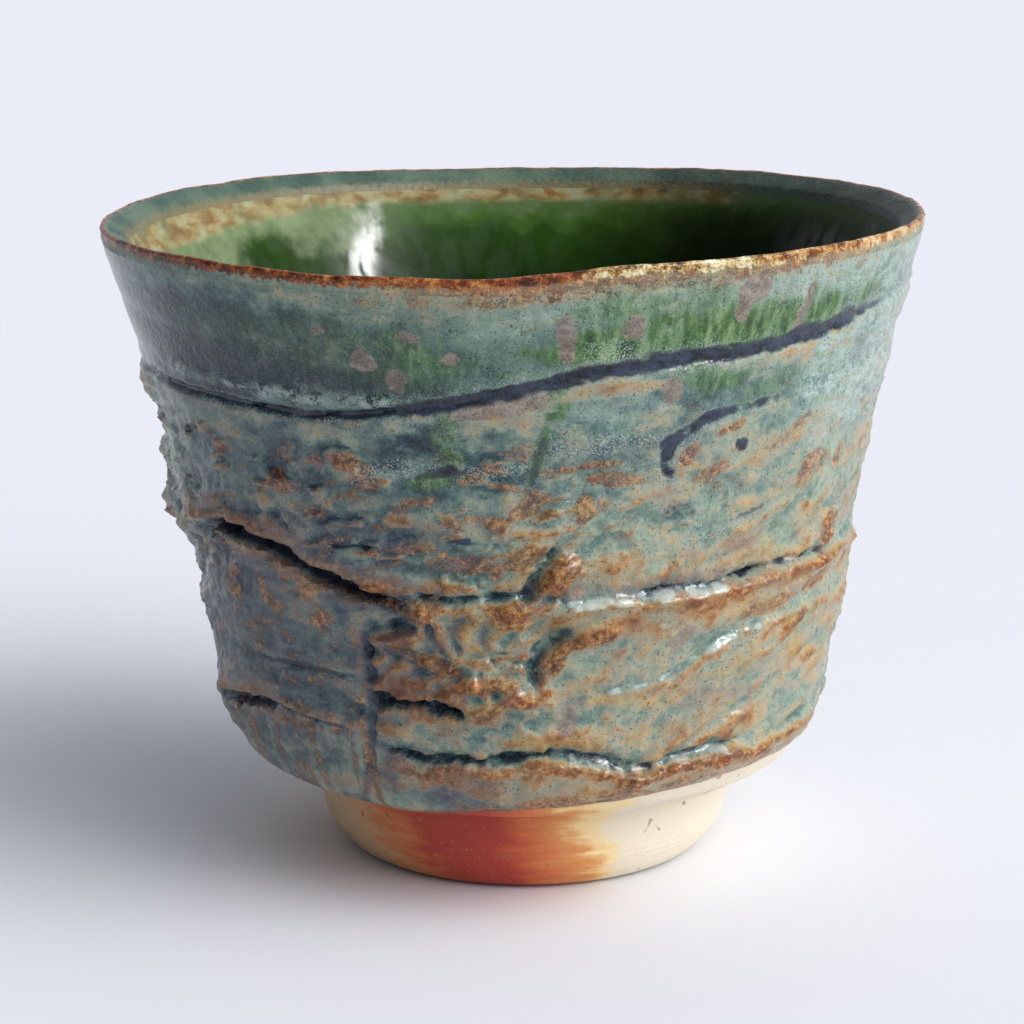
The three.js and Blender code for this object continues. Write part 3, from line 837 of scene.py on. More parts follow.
@dataclass
class TornWall:
    """The glazed outside of the wall: torn, ledged and cut clay under a runny coat.

    The reliefs are how far each kind of texture lifts the wall, in mm. The zones are where it changes.
    """

    form: CupForm
    hem_line: Points = (
        (-150, 8.9), (-90, 8.7), (-60, 8.7), (-42, 8.4), (-31, 7.9), (-22, 7.7), (-15, 8.6), (-5, 9.2),
        (5, 9.5), (16, 9.8), (30, 10.2), (45, 10.6), (62, 10.6), (90, 10.2), (135, 9.2), (180, 8.7),
    )
    drift_line: Points = (
        (-180, 0.0), (-20, 0.0), (8, 1.0), (40, 8.0), (70, 12.0), (95, 11.0), (150, 2.0),
    )
    strata: float = 0.42
    bark: float = 0.22
    fold: float = 0.42
    pebble: float = 0.1
    swell: float = 0.28
    flake: float = 0.3
    inset: float = 0.4
    least_skin: float = 0.45
    hem_roll: float = 0.32
    hem_round: float = 0.4
    sharp_degrees: float = 75.0
    back_rows: int = 7
    far_left: Zone = Zone((-112, -64, 14))
    calm_panel: Zone = Zone((-66, -30, 6), (6, 27, 2))
    scored_panel: Zone = Zone((-68, -29, 4), (6, 26, 3))
    folded: Zone = Zone((-22, 2, 8), (18, 26, 3))
    flaked: Zone = Zone((-60, 6, 12))
    # The shaded zone makes the glaze on the left side thicker and darker, as painted shade.
    shaded: Zone = Zone((-110, -44, 34))
    # The lit zone makes the glaze on the right side thinner and lighter, as painted light.
    lit: Zone = Zone((8, 100, 14))
    rusty_hem: Zone = Zone((-20, 100, 10))
    frosted: Zone = Zone((-24, 34, 6))
    coats: dict[Coat, Array] = field(default_factory=dict)

    def build(self, finish: Material) -> Object:
        """Makes the wall with the attributes that its finish reads.

        Args:
            finish: Its material.

        Returns:
            The piece.
        """
        wall = WallGrid(self.form, self.hem_line, self.form.lip_height - self.form.lip_band)
        relief = self.relief(wall)
        self.lay_glaze(wall, relief)
        radius = self.form.wall_radius(wall.height) + relief
        radius -= self.hem_roll * np.exp(-(((wall.height - wall.hem[:, None]) / self.hem_round) ** 2))
        front = self.form.settle(wall.degrees, radius, wall.height)
        mesh = closed_shell("torn_wall", np.concatenate([front, self.back(wall)], axis=1))
        mesh.set_sharp_from_angle(angle=math.radians(self.sharp_degrees))
        for coat, amount in self.coats.items():
            store(mesh, coat.value, np.pad(amount, ((0, 0), (0, self.back_rows)), mode="edge"))
        mesh.materials.append(finish)
        return piece_of(mesh)

    def relief(self, wall: WallGrid) -> Array:
        """Works out how far the wall stands out of its smooth form.

        Args:
            wall: The grid.

        Returns:
            The relief at each point: the torn texture, and the listed marks.
        """
        relief = self.texture(wall)
        relief += np.max([ledge.relief(wall) for ledge in LEDGES], axis=0)
        relief += np.max([tear.relief(wall) for tear in TEARS], axis=0)
        for groove in GROOVES:
            relief -= groove.depth * groove.shape(wall)
        for scratch in SCRATCHES:
            relief += scratch.rise * scratch.shape(wall)
        for lump in LUMPS:
            relief += lump.height * lump.shape(wall)
        plain = smooth_step(wall.height, self.form.lip_height - 6.0, self.form.lip_height - 1.5)
        relief = relief * (1.0 - 0.9 * plain) - self.inset * (1.0 - plain)
        return np.maximum(relief, self.least_skin - self.form.coat_depth(wall.height))

    def texture(self, wall: WallGrid) -> Array:
        """Works out the torn texture: strata, bark, folds, pebble grain and flakes.

        Args:
            wall: The grid.

        Returns:
            How far it lifts each point.
        """
        noise = wall.noise
        slant = wall.height - round_the_cup(self.drift_line, wall.column_degrees)[:, None]
        bend = noise.rough(wall.around, slant, (9.0, 5.0))
        drift = noise.rough(wall.around, slant, (7.0, 4.0))
        layers = noise.rough(wall.around + 4.0 * bend, slant + 1.5 * drift, (15.0, 4.2))
        strata = terraced(layers, 2.2, 0.7)
        bark = noise.rough(wall.around + 3.0 * bend, slant + 1.4 * drift, (5.0, 1.9))
        creases = noise.rough(wall.around + 2.5 * drift, slant + 1.5 * bend, (4.4, 2.4), octaves=2)
        fold = (0.15 + 0.85 * self.folded.share(wall)) * (1.0 - 2.4 * np.abs(creases))
        pebble = noise.rough(wall.around, wall.height, (1.0, 0.8), octaves=2)
        torn = 1.0 - 0.55 * smooth_step(wall.height, 27.0, 38.0)
        torn -= 0.35 * self.calm_panel.share(wall)
        torn += 0.9 * self.far_left.share(wall) * smooth_step(wall.height, 22, 32)
        torn *= 1.0 - smooth_step(wall.height - wall.shoulder, -2.5, 0.3)
        torn *= smooth_step(wall.height - wall.hem[:, None], 0.0, 2.0)
        relief = self.swell * noise.rough(wall.around, wall.height, (26.0, 14.0), octaves=2)
        relief += torn * (self.strata * strata + self.bark * bark + self.fold * fold)
        relief += (0.2 + 0.8 * torn) * self.pebble * pebble
        return relief + self.flake * self.flakes(wall)

    def flakes(self, wall: WallGrid) -> Array:
        """Draws small flakes torn up from the middle of the wall.

        Args:
            wall: The grid.

        Returns:
            1 on the flakes, 0 elsewhere.
        """
        sway = wall.noise.rough(wall.around, wall.height, (6.0, 4.0))
        flat = wall.noise.rough(wall.around + 1.5 * sway, wall.height + sway, (3.2, 1.1), octaves=2)
        most = 0.4 + 0.6 * self.flaked.share(wall)
        level = between(wall.height - 0.2 * wall.shoulder, 19.0, 29.0, 3.0)
        return most * smooth_step(flat, 0.24, 0.44) * level

    def lay_glaze(self, wall: WallGrid, relief: Array) -> None:
        """Works out how each coat lies: thin on what stands out, pooled in what lies deep.

        Args:
            wall: The grid.
            relief: How far the wall stands out at each point.
        """
        form = self.form
        noise = wall.noise
        proud = np.tanh(2.0 * (relief - blurred(relief, 3, 3))) / 2.0
        broad = np.tanh(1.4 * (relief - blurred(relief, 9, 9))) / 1.4
        runs = noise.rough(wall.around, wall.height, (1.2, 7.0))
        clouds = noise.rough(wall.around, wall.height, (8.0, 4.0))
        strokes = noise.rough(wall.around + 2.0 * clouds, wall.height + 0.8 * clouds, (7.5, 1.7), octaves=2)
        drops = noise.rough(wall.around, wall.height, (1.3, 0.9), octaves=2)
        sides = smooth_step(np.abs(wall.degrees), 60.0, 80.0)
        wavering = wall.height + 1.6 * sides * (clouds + wall.torn_edge)
        above = smooth_step(wavering - wall.shoulder, -0.5, 0.8)
        below = 1.0 - above
        shaded = self.shaded.share(wall)
        panel = self.scored_panel.share(wall)
        pulled = panel * (1.0 - smooth_step(wall.height, 14.5, 17.5))
        mottled = panel - pulled
        # How thick the glaze is: it ran down from the collar, and pooled off what stands out
        # Painted shade: the shaded left side gets thicker, darker glaze.
        thick = 0.51 + 0.1 * above - 0.55 * proud - 0.3 * broad + 0.12 * shaded
        thick += (0.03 + 0.05 * above + 0.14 * pulled) * runs + (0.13 - 0.07 * above) * clouds
        thick += 0.12 * mottled * wall.torn_edge
        thick += 0.07 * strokes * (1.0 - 0.8 * above)
        thick += 0.08 * above * (1.0 - smooth_step(wall.height, 45.5, 50.0))
        # Painted light: the lit right side below the shoulder gets thinner, lighter glaze.
        thick -= 0.5 * self.lit.share(wall) * below * np.clip(thick - 0.52, 0.0, 1.0)
        edge = smooth_step(wall.height + 0.8 * wall.torn_edge, form.lip_height - 2.4, form.lip_height - 1.1)
        thick = thick * (1.0 - edge) + form.lip_run(wall.degrees) * edge
        # Where the iron bleeds through: on what stands out, in the scored panel and along the hem
        iron = below * (0.45 * smooth_step(proud, 0.05, 0.22) + 0.5 * self.flakes(wall))
        iron += below * (0.16 + (0.2 + 0.9 * runs) * pulled)
        iron += (0.12 + 0.7 * wall.torn_edge) * mottled
        hem = 1.0 - smooth_step(wall.height + 0.5 * wall.torn_edge - wall.hem[:, None], 0.3, 1.4)
        iron += 0.7 * hem * self.rusty_hem.share(wall)
        iron += above * (0.06 + 0.2 * smooth_step(wall.height, 45.5, 50.0))
        coats = {coat: np.zeros_like(relief) for coat in Coat}
        coats[Coat.THICK] = thick
        # Painted shade: less green glass on the shaded left side.
        coats[Coat.GREEN] = 0.2 * above * (1.0 - 0.9 * shaded)
        coats[Coat.IRON] = iron
        # The listed marks
        uneven = np.clip(0.85 + 1.1 * drops, 0.2, 1.3) - 1.0
        for coat, patches in PATCHES.items():
            for patch in patches:
                coats[coat] += patch.amount * patch.mask(wall)
        for groove in GROOVES:
            coats[Coat.NIGHT] += groove.night * groove.shape(wall) * (1.0 + groove.torn * uneven)
        for scratch in SCRATCHES:
            coats[scratch.coat] += scratch.night * scratch.shape(wall) * (1.0 + scratch.torn * uneven)
        for lump in LUMPS:
            coats[Coat.IRON] += lump.iron * lump.shape(wall)
        halo = np.clip(1.8 * blurred(coats[Coat.NIGHT], 2, 2) - coats[Coat.NIGHT], 0.0, 1.0)
        coats[Coat.FROST] += 0.8 * halo * smooth_step(wall.height, 30.0, 36.0) * self.frosted.share(wall)
        coats[Coat.THICK] += 0.2 * coats[Coat.WET_GLINT]
        coats[Coat.IRON] -= 0.6 * coats[Coat.WET_GLINT]
        self.coats = {coat: np.clip(amount, 0.0, 1.0) for coat, amount in coats.items()}

    def back(self, wall: WallGrid) -> Array:
        """Lays out the side against the clay, from the top down.

        Args:
            wall: The grid.

        Returns:
            Points for each column and row.
        """
        share = np.linspace(1.0, 0.0, self.back_rows)
        height = wall.hem[:, None] * (1.0 - share) + wall.height[:, -1:] * share
        radius = self.form.wall_radius(height) - self.form.coat_depth(height)
        degrees = np.repeat(wall.column_degrees[:, None], self.back_rows, axis=1)
        return self.form.settle(degrees, radius, height)


# Meshes


def closed_shell(name: str, points: Array) -> Mesh:
    """Makes a ring-shaped shell from loops of points.

    Args:
        name: The mesh's name.
        points: Columns round the cup, each a closed loop of rows, in mm.

    Returns:
        The mesh, in metres, with smooth faces that point out.
    """
    columns, rows, _ = points.shape
    column, row = np.meshgrid(np.arange(columns), np.arange(rows), indexing="ij")
    right = (column + 1) % columns
    up = (row + 1) % rows
    corners = [column * rows + row, right * rows + row, right * rows + up, column * rows + up]
    return mesh_of(name, points.reshape(-1, 3), np.stack(corners, axis=-1).reshape(-1, 4))


def mesh_of(name: str, points: Array, faces: Array) -> Mesh:
    """Makes a smooth mesh.

    Args:
        name: Its name.
        points: One row of x, y and z in mm for each vertex.
        faces: Four vertices for each face.

    Returns:
        The mesh, in metres.
    """
    mesh = bpy.data.meshes.new(name)
    mesh.from_pydata((points * MM).tolist(), [], faces.tolist())
    mesh.shade_smooth()
    mesh.update()
    return mesh


def store(mesh: Mesh, name: str, values: Array) -> None:
    """Stores one value for each vertex under a name that a finish reads."""
    layer = mesh.attributes.new(name, "FLOAT", "POINT")
    layer.data.foreach_set("value", values.astype(np.float32).ravel())


def piece_of(mesh: Mesh) -> Object:
    """Puts a mesh into the scene.

    Args:
        mesh: The mesh.

    Returns:
        Its object, which takes the mesh's name.
    """
    made = bpy.data.objects.new(mesh.name, mesh)
    bpy.context.scene.collection.objects.link(made)
    return made


# Node trees


class NodeSheet:
    """A short way to lay out the nodes of a tree."""

    def __init__(self, tree: NodeTree) -> None:
        """Starts on a tree, and clears it."""
        self.tree = tree
        tree.nodes.clear()

    def node(self, kind: str, inputs: dict[Any, Any] | None = None, **settings: Any) -> bpy.types.Node:
        """Adds a node.

        Args:
            kind: Its type.
            inputs: What each input takes: a socket to link, or a value.
            settings: Its own properties.

        Returns:
            The node.
        """
        made = self.tree.nodes.new(kind)
        for name, value in settings.items():
            setattr(made, name, value)
        for key, value in (inputs or {}).items():
            self.feed(made.inputs[key], value)
        return made

    def feed(self, socket: Socket, value: Any) -> None:
        """Feeds an input.

        Args:
            socket: The input.
            value: A socket to link to it, or its value.
        """
        if isinstance(value, Socket):
            self.tree.links.new(value, socket)
        else:
            socket.default_value = value

    def math(self, operation: str, first: Any, second: Any = 0.0, clamp: bool = False) -> Socket:
        """Adds a sum of two values and gives its result."""
        made = self.node("ShaderNodeMath", {0: first, 1: second}, operation=operation, use_clamp=clamp)
        return made.outputs[0]

    def plus(self, *values: Any) -> Socket:
        """The sum of values."""
        return reduce(partial(self.math, "ADD"), values)

    def times(self, first: Any, second: Any) -> Socket:
        """The product of two values."""
        return self.math("MULTIPLY", first, second)

    def minus(self, first: Any, second: Any) -> Socket:
        """The first value less the second."""
        return self.math("SUBTRACT", first, second)

    def vector(self, operation: str, first: Any, second: Any) -> Socket:
        """Adds a sum of two vectors and gives its result."""
        return self.node("ShaderNodeVectorMath", {0: first, 1: second}, operation=operation).outputs[0]


class ShaderSheet(NodeSheet):
    """Nodes that finishes share."""

    def noise(
        self, place: Socket, size: Any, detail: float, roughness: float = 0.55, warp: float = 0.0
    ) -> Socket:
        """Adds noise.

        Args:
            place: Where it is read, in mm.
            size: Size of its largest features, in mm: a value, or a socket.
            detail: How many finer layers it has.
            roughness: How strong these are.
            warp: How far it is pulled about.

        Returns:
            The noise, about 0.5.
        """
        made = self.node("ShaderNodeTexNoise", {"Vector": place, "Detail": detail})
        made.inputs["Roughness"].default_value = roughness
        made.inputs["Distortion"].default_value = warp
        linked = isinstance(size, Socket)
        self.feed(made.inputs["Scale"], self.math("DIVIDE", 1.0, size) if linked else 1.0 / size)
        return made.outputs[0]

    def rising(self, value: Any, low: float, high: float, top: float = 1.0, bottom: float = 0.0) -> Socket:
        """Rises smoothly from bottom at low to top at high."""
        inputs = {"Value": value, "From Min": low, "From Max": high, "To Min": bottom, "To Max": top}
        return self.node("ShaderNodeMapRange", inputs, interpolation_type="SMOOTHSTEP").outputs[0]

    def swing(self, value: Socket, reach: float) -> Socket:
        """Centres a noise on 0, and gives it a reach."""
        return self.times(self.minus(value, 0.5), reach)

    def mix(self, share: Any, first: Any, second: Any) -> Socket:
        """Mixes two colours."""
        return self.node("ShaderNodeMix", {0: share, 6: first, 7: second}, data_type="RGBA").outputs[2]

    def ramp(self, value: Socket, stops: Ramp) -> Socket:
        """Adds a colour that runs through stops.

        Args:
            value: Where on the run it is read.
            stops: Pairs of (place, colour) in rising order of place.

        Returns:
            The colour.
        """
        made = self.node("ShaderNodeValToRGB", {0: value})
        elements = made.color_ramp.elements
        while len(elements) < len(stops):
            elements.new(1.0)
        for element, (place, colour) in zip(elements, stops):
            element.position = place
            element.color = colour
        return made.outputs[0]

    def attribute(self, name: str) -> Socket:
        """A value stored on the mesh."""
        return self.node("ShaderNodeAttribute", attribute_name=name).outputs["Fac"]

    def place(self, stretch: Triple = (1.0, 1.0, 1.0)) -> Socket:
        """Object coordinates in millimetres, stretched along each axis."""
        found = self.node("ShaderNodeTexCoord").outputs["Object"]
        return self.vector("MULTIPLY", found, tuple(side / MM for side in stretch))


def srgb(red: int, green: int, blue: int) -> Colour:
    """A colour as a shader takes it, from its everyday 0 to 255 values."""
    shares = np.array((red, green, blue)) / 255.0
    return (*np.where(shares <= 0.04045, shares / 12.92, ((shares + 0.055) / 1.055) ** 2.4).tolist(), 1.0)


def add_input(tree: NodeTree, name: str, kind: str, start: float | None = None) -> None:
    """Adds a named input to a tree.

    Args:
        tree: The tree.
        name: The input's name.
        kind: Its type.
        start: Its first value, for a number.
    """
    made = tree.interface.new_socket(name=name, in_out="INPUT", socket_type=kind)
    if start is not None:
        made.default_value = start


def kiln_speckle() -> NodeTree:
    """Builds the group that every finish takes its fine marks from.

    Returns:
        The group, which puts out dark and pale specks, clouds and grain.
    """
    tree = bpy.data.node_groups.new("Kiln Speckle", "ShaderNodeTree")
    add_input(tree, "Speck Size", "NodeSocketFloat", start=0.3)
    add_input(tree, "Cloud Size", "NodeSocketFloat", start=3.0)
    for name in ("Dark Specks", "Pale Specks", "Clouds", "Grain"):
        tree.interface.new_socket(name=name, in_out="OUTPUT", socket_type="NodeSocketFloat")
    sheet = ShaderSheet(tree)
    given = sheet.node("NodeGroupInput").outputs
    speck, cloud = given["Speck Size"], given["Cloud Size"]
    grain = sheet.math("DIVIDE", speck, SPECK_TO_GRAIN)
    place = sheet.place()
    shifted = sheet.vector("ADD", place, SPECK_SHIFT)
    out = sheet.node("NodeGroupOutput").inputs
    sheet.feed(out["Dark Specks"], sheet.rising(sheet.noise(place, speck, 2.0, 0.6), 0.58, 0.71))
    sheet.feed(out["Pale Specks"], sheet.rising(sheet.noise(shifted, speck, 2.0, 0.6), 0.60, 0.72))
    sheet.feed(out["Clouds"], sheet.noise(place, cloud, 4.0, 0.6))
    sheet.feed(out["Grain"], sheet.noise(shifted, grain, 5.0, 0.6))
    return tree


# Finishes


class FinishSheet(ShaderSheet):
    """The nodes of one material, with its fine marks and its shader."""

    def __init__(self, tree: NodeTree, speckle: NodeTree, sizes: dict[str, float]) -> None:
        """Starts with the marks and the shader.

        Args:
            tree: The material's tree.
            speckle: The group that the fine marks come from.
            sizes: The group's inputs by name.
        """
        super().__init__(tree)
        self.marks = self.node("ShaderNodeGroup", node_tree=speckle)
        for name, size in sizes.items():
            self.marks.inputs[name].default_value = size
        self.shader = self.node("ShaderNodeBsdfPrincipled")
        self.node("ShaderNodeOutputMaterial", {"Surface": self.shader.outputs[0]})

    def mark(self, name: str) -> Socket:
        """One of the fine marks."""
        return self.marks.outputs[name]

    def dress(self, name: str, value: Any) -> None:
        """Feeds one of the shader's inputs."""
        self.feed(self.shader.inputs[name], value)


@dataclass(frozen=True)
class Finish:
    """A fired surface. Each kind adds its own colours. Sizes are in mm."""

    sheet_kind: ClassVar[type[FinishSheet]] = FinishSheet
    name: str
    speckle: NodeTree
    speck_size: float = 0.3
    cloud_size: float = 3.0
    grain_depth: float = 0.03

    def build(self) -> Material:
        """Makes the material.

        Returns:
            The material, under the finish's name.
        """
        made = bpy.data.materials.new(self.name)
        made.use_nodes = True
        sizes = {"Speck Size": self.speck_size, "Cloud Size": self.cloud_size}
        sheet = self.sheet_kind(made.node_tree, self.speckle, sizes)
        bump = {"Height": self.colour(sheet), "Distance": self.grain_depth * MM, "Strength": 1.0}
        sheet.dress("Normal", sheet.node("ShaderNodeBump", bump).outputs[0])
        return made

    def colour(self, sheet: FinishSheet) -> Socket:
        """Feeds the shader's colour and gloss.

        Args:
            sheet: The material's nodes.

        Returns:
            The height of the surface's fine grain.
        """
        raise NotImplementedError


class GlazeSheet(FinishSheet):
    """The nodes of the wall's glaze, with its noises, from large blotches to fine crystals."""

    def __init__(self, tree: NodeTree, speckle: NodeTree, sizes: dict[str, float]) -> None:
        """Starts with the marks, the shader, the noises, and the thickness and height that they give.

        Args:
            tree: The material's tree.
            speckle: The group that the fine marks come from.
            sizes: The group's inputs by name.
        """
        super().__init__(tree, speckle, sizes)
        flat = self.place((1.0, 1.0, 1.6))
        self.blotch = self.noise(flat, 3.2, detail=3.0, roughness=0.5, warp=0.4)
        self.middle = self.noise(flat, 1.2, detail=2.0, roughness=0.5, warp=0.3)
        self.fine = self.noise(self.place(), 0.42, detail=2.0)
        self.crystal = self.noise(self.place(), 0.13, detail=1.0)
        self.streak = self.noise(self.place((1.0, 1.0, 0.16)), 0.7, detail=3.0)
        self.fire = self.noise(self.place((1.0, 1.0, 1.5)), 2.4, detail=2.0, warp=0.3)
        self.mint = self.noise(self.place((1.0, 1.0, 1.4)), 4.6, detail=2.0, warp=0.3)
        specks = self.plus(self.swing(self.fine, 0.45), self.swing(self.crystal, 0.4))
        self.grain = self.plus(0.5, specks, self.swing(self.middle, 0.8))
        broad = self.plus(self.attribute("thick"), self.swing(self.blotch, 0.45))
        broad = self.plus(broad, self.swing(self.middle, 0.3))
        self.thick = self.math("ADD", broad, self.swing(self.fine, 0.34), clamp=True)
        self.height = self.plus(self.times(self.blotch, 1.4), self.middle, self.times(self.fine, 0.9))


@dataclass(frozen=True)
class AshGlaze(Finish):
    """The runny outside glaze: rust where thin, sage and teal where thick, night blue in the cuts."""

    sheet_kind: ClassVar[type[FinishSheet]] = GlazeSheet
    ground: Ramp = (
        (0.00, srgb(116, 68, 42)), (0.14, srgb(148, 100, 58)), (0.26, srgb(172, 136, 90)),
        (0.36, srgb(173, 156, 124)), (0.46, srgb(156, 157, 135)), (0.56, srgb(127, 145, 130)),
        (0.68, srgb(92, 120, 113)), (0.82, srgb(49, 80, 83)), (1.00, srgb(22, 40, 48)),
    )
    rust: Ramp = (
        (0.30, srgb(66, 42, 30)), (0.45, srgb(116, 74, 42)), (0.58, srgb(156, 110, 60)),
        (0.74, srgb(188, 156, 98)),
    )
    ember: Ramp = (
        (0.30, srgb(88, 38, 24)), (0.45, srgb(146, 74, 38)), (0.58, srgb(190, 122, 56)),
        (0.74, srgb(206, 166, 94)),
    )
    # Colours of the smoky blue coat, which on the left side is painted shade.
    smoke_and_shade: Ramp = (
        (0.25, srgb(116, 82, 66)), (0.48, srgb(90, 80, 90)), (0.62, srgb(68, 71, 90)),
        (0.85, srgb(35, 43, 67)),
    )
    glass: Ramp = ((0.34, srgb(38, 70, 34)), (0.5, srgb(74, 110, 56)), (0.68, srgb(120, 148, 104)))

    def ground_coat(self, sheet: GlazeSheet) -> Socket:
        """Colours the glaze by its thickness: bare in places, honey where thin and minty where thicker.

        Args:
            sheet: The material's nodes.

        Returns:
            The colour.
        """
        base = sheet.ramp(sheet.thick, self.ground)
        bare = sheet.rising(sheet.mark("Clouds"), 0.5, 0.66, top=0.55)
        bare = sheet.times(bare, sheet.rising(sheet.thick, 0.56, 0.38))
        base = sheet.mix(bare, base, srgb(140, 122, 104))
        honey = sheet.rising(sheet.fire, 0.5, 0.38, top=0.4)
        honey = sheet.times(honey, sheet.rising(sheet.thick, 0.58, 0.42))
        base = sheet.mix(honey, base, srgb(182, 152, 88))
        mint = sheet.rising(sheet.mint, 0.52, 0.7, top=0.5)
        mint = sheet.times(mint, sheet.rising(sheet.thick, 0.7, 0.5))
        return sheet.mix(mint, base, srgb(142, 168, 146))

    def stained(self, sheet: GlazeSheet, base: Socket) -> Socket:
        """Stains the ground with rust, smoky blue that is partly painted shade, pale ash that is partly
        painted sheen, and green glass.

        Args:
            sheet: The material's nodes.
            base: The colour of the ground.

        Returns:
            The colour.
        """
        rusty = sheet.plus(sheet.attribute("iron"), sheet.swing(sheet.blotch, 1.0))
        rusty = sheet.plus(rusty, sheet.swing(sheet.fine, 0.7))
        speckle = sheet.plus(sheet.fine, sheet.swing(sheet.middle, 0.6), sheet.swing(sheet.crystal, 0.5))
        burnt = sheet.rising(sheet.fire, 0.46, 0.62, top=0.75)
        rust = sheet.mix(burnt, sheet.ramp(speckle, self.rust), sheet.ramp(speckle, self.ember))
        base = sheet.mix(sheet.rising(rusty, 0.26, 0.85, top=0.8), base, rust)
        # Smoky blue, which on the left side is painted shade.
        cool = sheet.times(sheet.attribute("blue"), 0.85)
        cool = sheet.times(cool, sheet.minus(1.0, sheet.rising(rusty, 0.35, 0.9, top=0.4)))
        base = sheet.mix(cool, base, sheet.ramp(sheet.thick, self.smoke_and_shade))
        # Pale ash, and painted sheen at the two sides.
        pale = sheet.times(sheet.attribute("pale"), sheet.rising(sheet.grain, 0.35, 0.6))
        base = sheet.mix(pale, base, srgb(164, 184, 174))
        green = sheet.times(sheet.attribute("green"), sheet.rising(sheet.thick, 0.40, 0.64))
        run = sheet.plus(sheet.streak, sheet.swing(sheet.fine, 0.3))
        return sheet.mix(green, base, sheet.ramp(run, self.glass))

    def pooled(self, sheet: GlazeSheet, base: Socket) -> Socket:
        """Pools night blue glaze in the cuts, inside a pale rim.

        Args:
            sheet: The material's nodes.
            base: The colour round the pools.

        Returns:
            The colour.
        """
        pool = sheet.plus(sheet.attribute("night"), sheet.swing(sheet.fine, 0.5))
        pool = sheet.plus(pool, sheet.swing(sheet.middle, 0.4))
        rim = sheet.minus(sheet.rising(pool, 0.10, 0.22, top=0.4), sheet.rising(pool, 0.22, 0.36, top=0.4))
        rim = sheet.times(rim, sheet.rising(sheet.crystal, 0.42, 0.56))
        base = sheet.mix(rim, base, srgb(150, 160, 160))
        night = sheet.mix(sheet.rising(sheet.grain, 0.3, 0.7), srgb(23, 29, 38), srgb(59, 68, 86))
        return sheet.mix(sheet.rising(pool, 0.22, 0.75), base, night)

    def coats(self, sheet: GlazeSheet) -> tuple[Socket, Socket]:
        """Lays the coats of the wall over one another.

        Args:
            sheet: The material's nodes.

        Returns:
            Their colour, and how matt they are.
        """
        base = self.ground_coat(sheet)
        base = self.stained(sheet, base)
        mauve = sheet.plus(sheet.attribute("mauve"), sheet.swing(sheet.grain, 0.6))
        mauve = sheet.rising(mauve, 0.3, 0.65, top=0.8)
        skin = sheet.mix(sheet.rising(sheet.grain, 0.3, 0.7), srgb(112, 96, 90), srgb(156, 138, 126))
        base = sheet.mix(mauve, base, skin)
        frost = sheet.plus(sheet.times(sheet.attribute("frost"), 0.7), 0.1)
        frost = sheet.times(frost, sheet.rising(sheet.crystal, 0.50, 0.62))
        frost = sheet.times(frost, sheet.rising(sheet.thick, 0.3, 0.5))
        base = sheet.mix(frost, base, srgb(166, 178, 172))
        base = self.pooled(sheet, base)
        base = sheet.mix(sheet.times(sheet.mark("Dark Specks"), 0.8), base, srgb(48, 42, 36))
        # Painted highlight: near-white glints along the wet ledge edges, which are also glossier.
        wet_glint = sheet.plus(sheet.attribute("wet_glint"), sheet.swing(sheet.grain, 1.2))
        base = sheet.mix(sheet.rising(wet_glint, 0.4, 1.1, top=0.7), base, srgb(200, 208, 200))
        return base, sheet.plus(mauve, frost)

    def colour(self, sheet: GlazeSheet) -> Socket:
        """Feeds the shader's colour and gloss.

        Args:
            sheet: The material's nodes.

        Returns:
            The height of the surface's fine grain.
        """
        base, matt = self.coats(sheet)
        sheet.dress("Base Color", base)
        rough = sheet.minus(0.46, sheet.times(sheet.thick, 0.36))
        rough = sheet.plus(rough, sheet.times(matt, 0.25))
        rough = sheet.minus(rough, sheet.times(sheet.attribute("wet_glint"), 0.3))
        sheet.dress("Roughness", sheet.math("MAXIMUM", rough, 0.16))
        sheet.dress("Specular IOR Level", 0.28)
        sheet.dress("Coat Weight", 0.12)
        sheet.dress("Coat Roughness", 0.2)
        return sheet.height


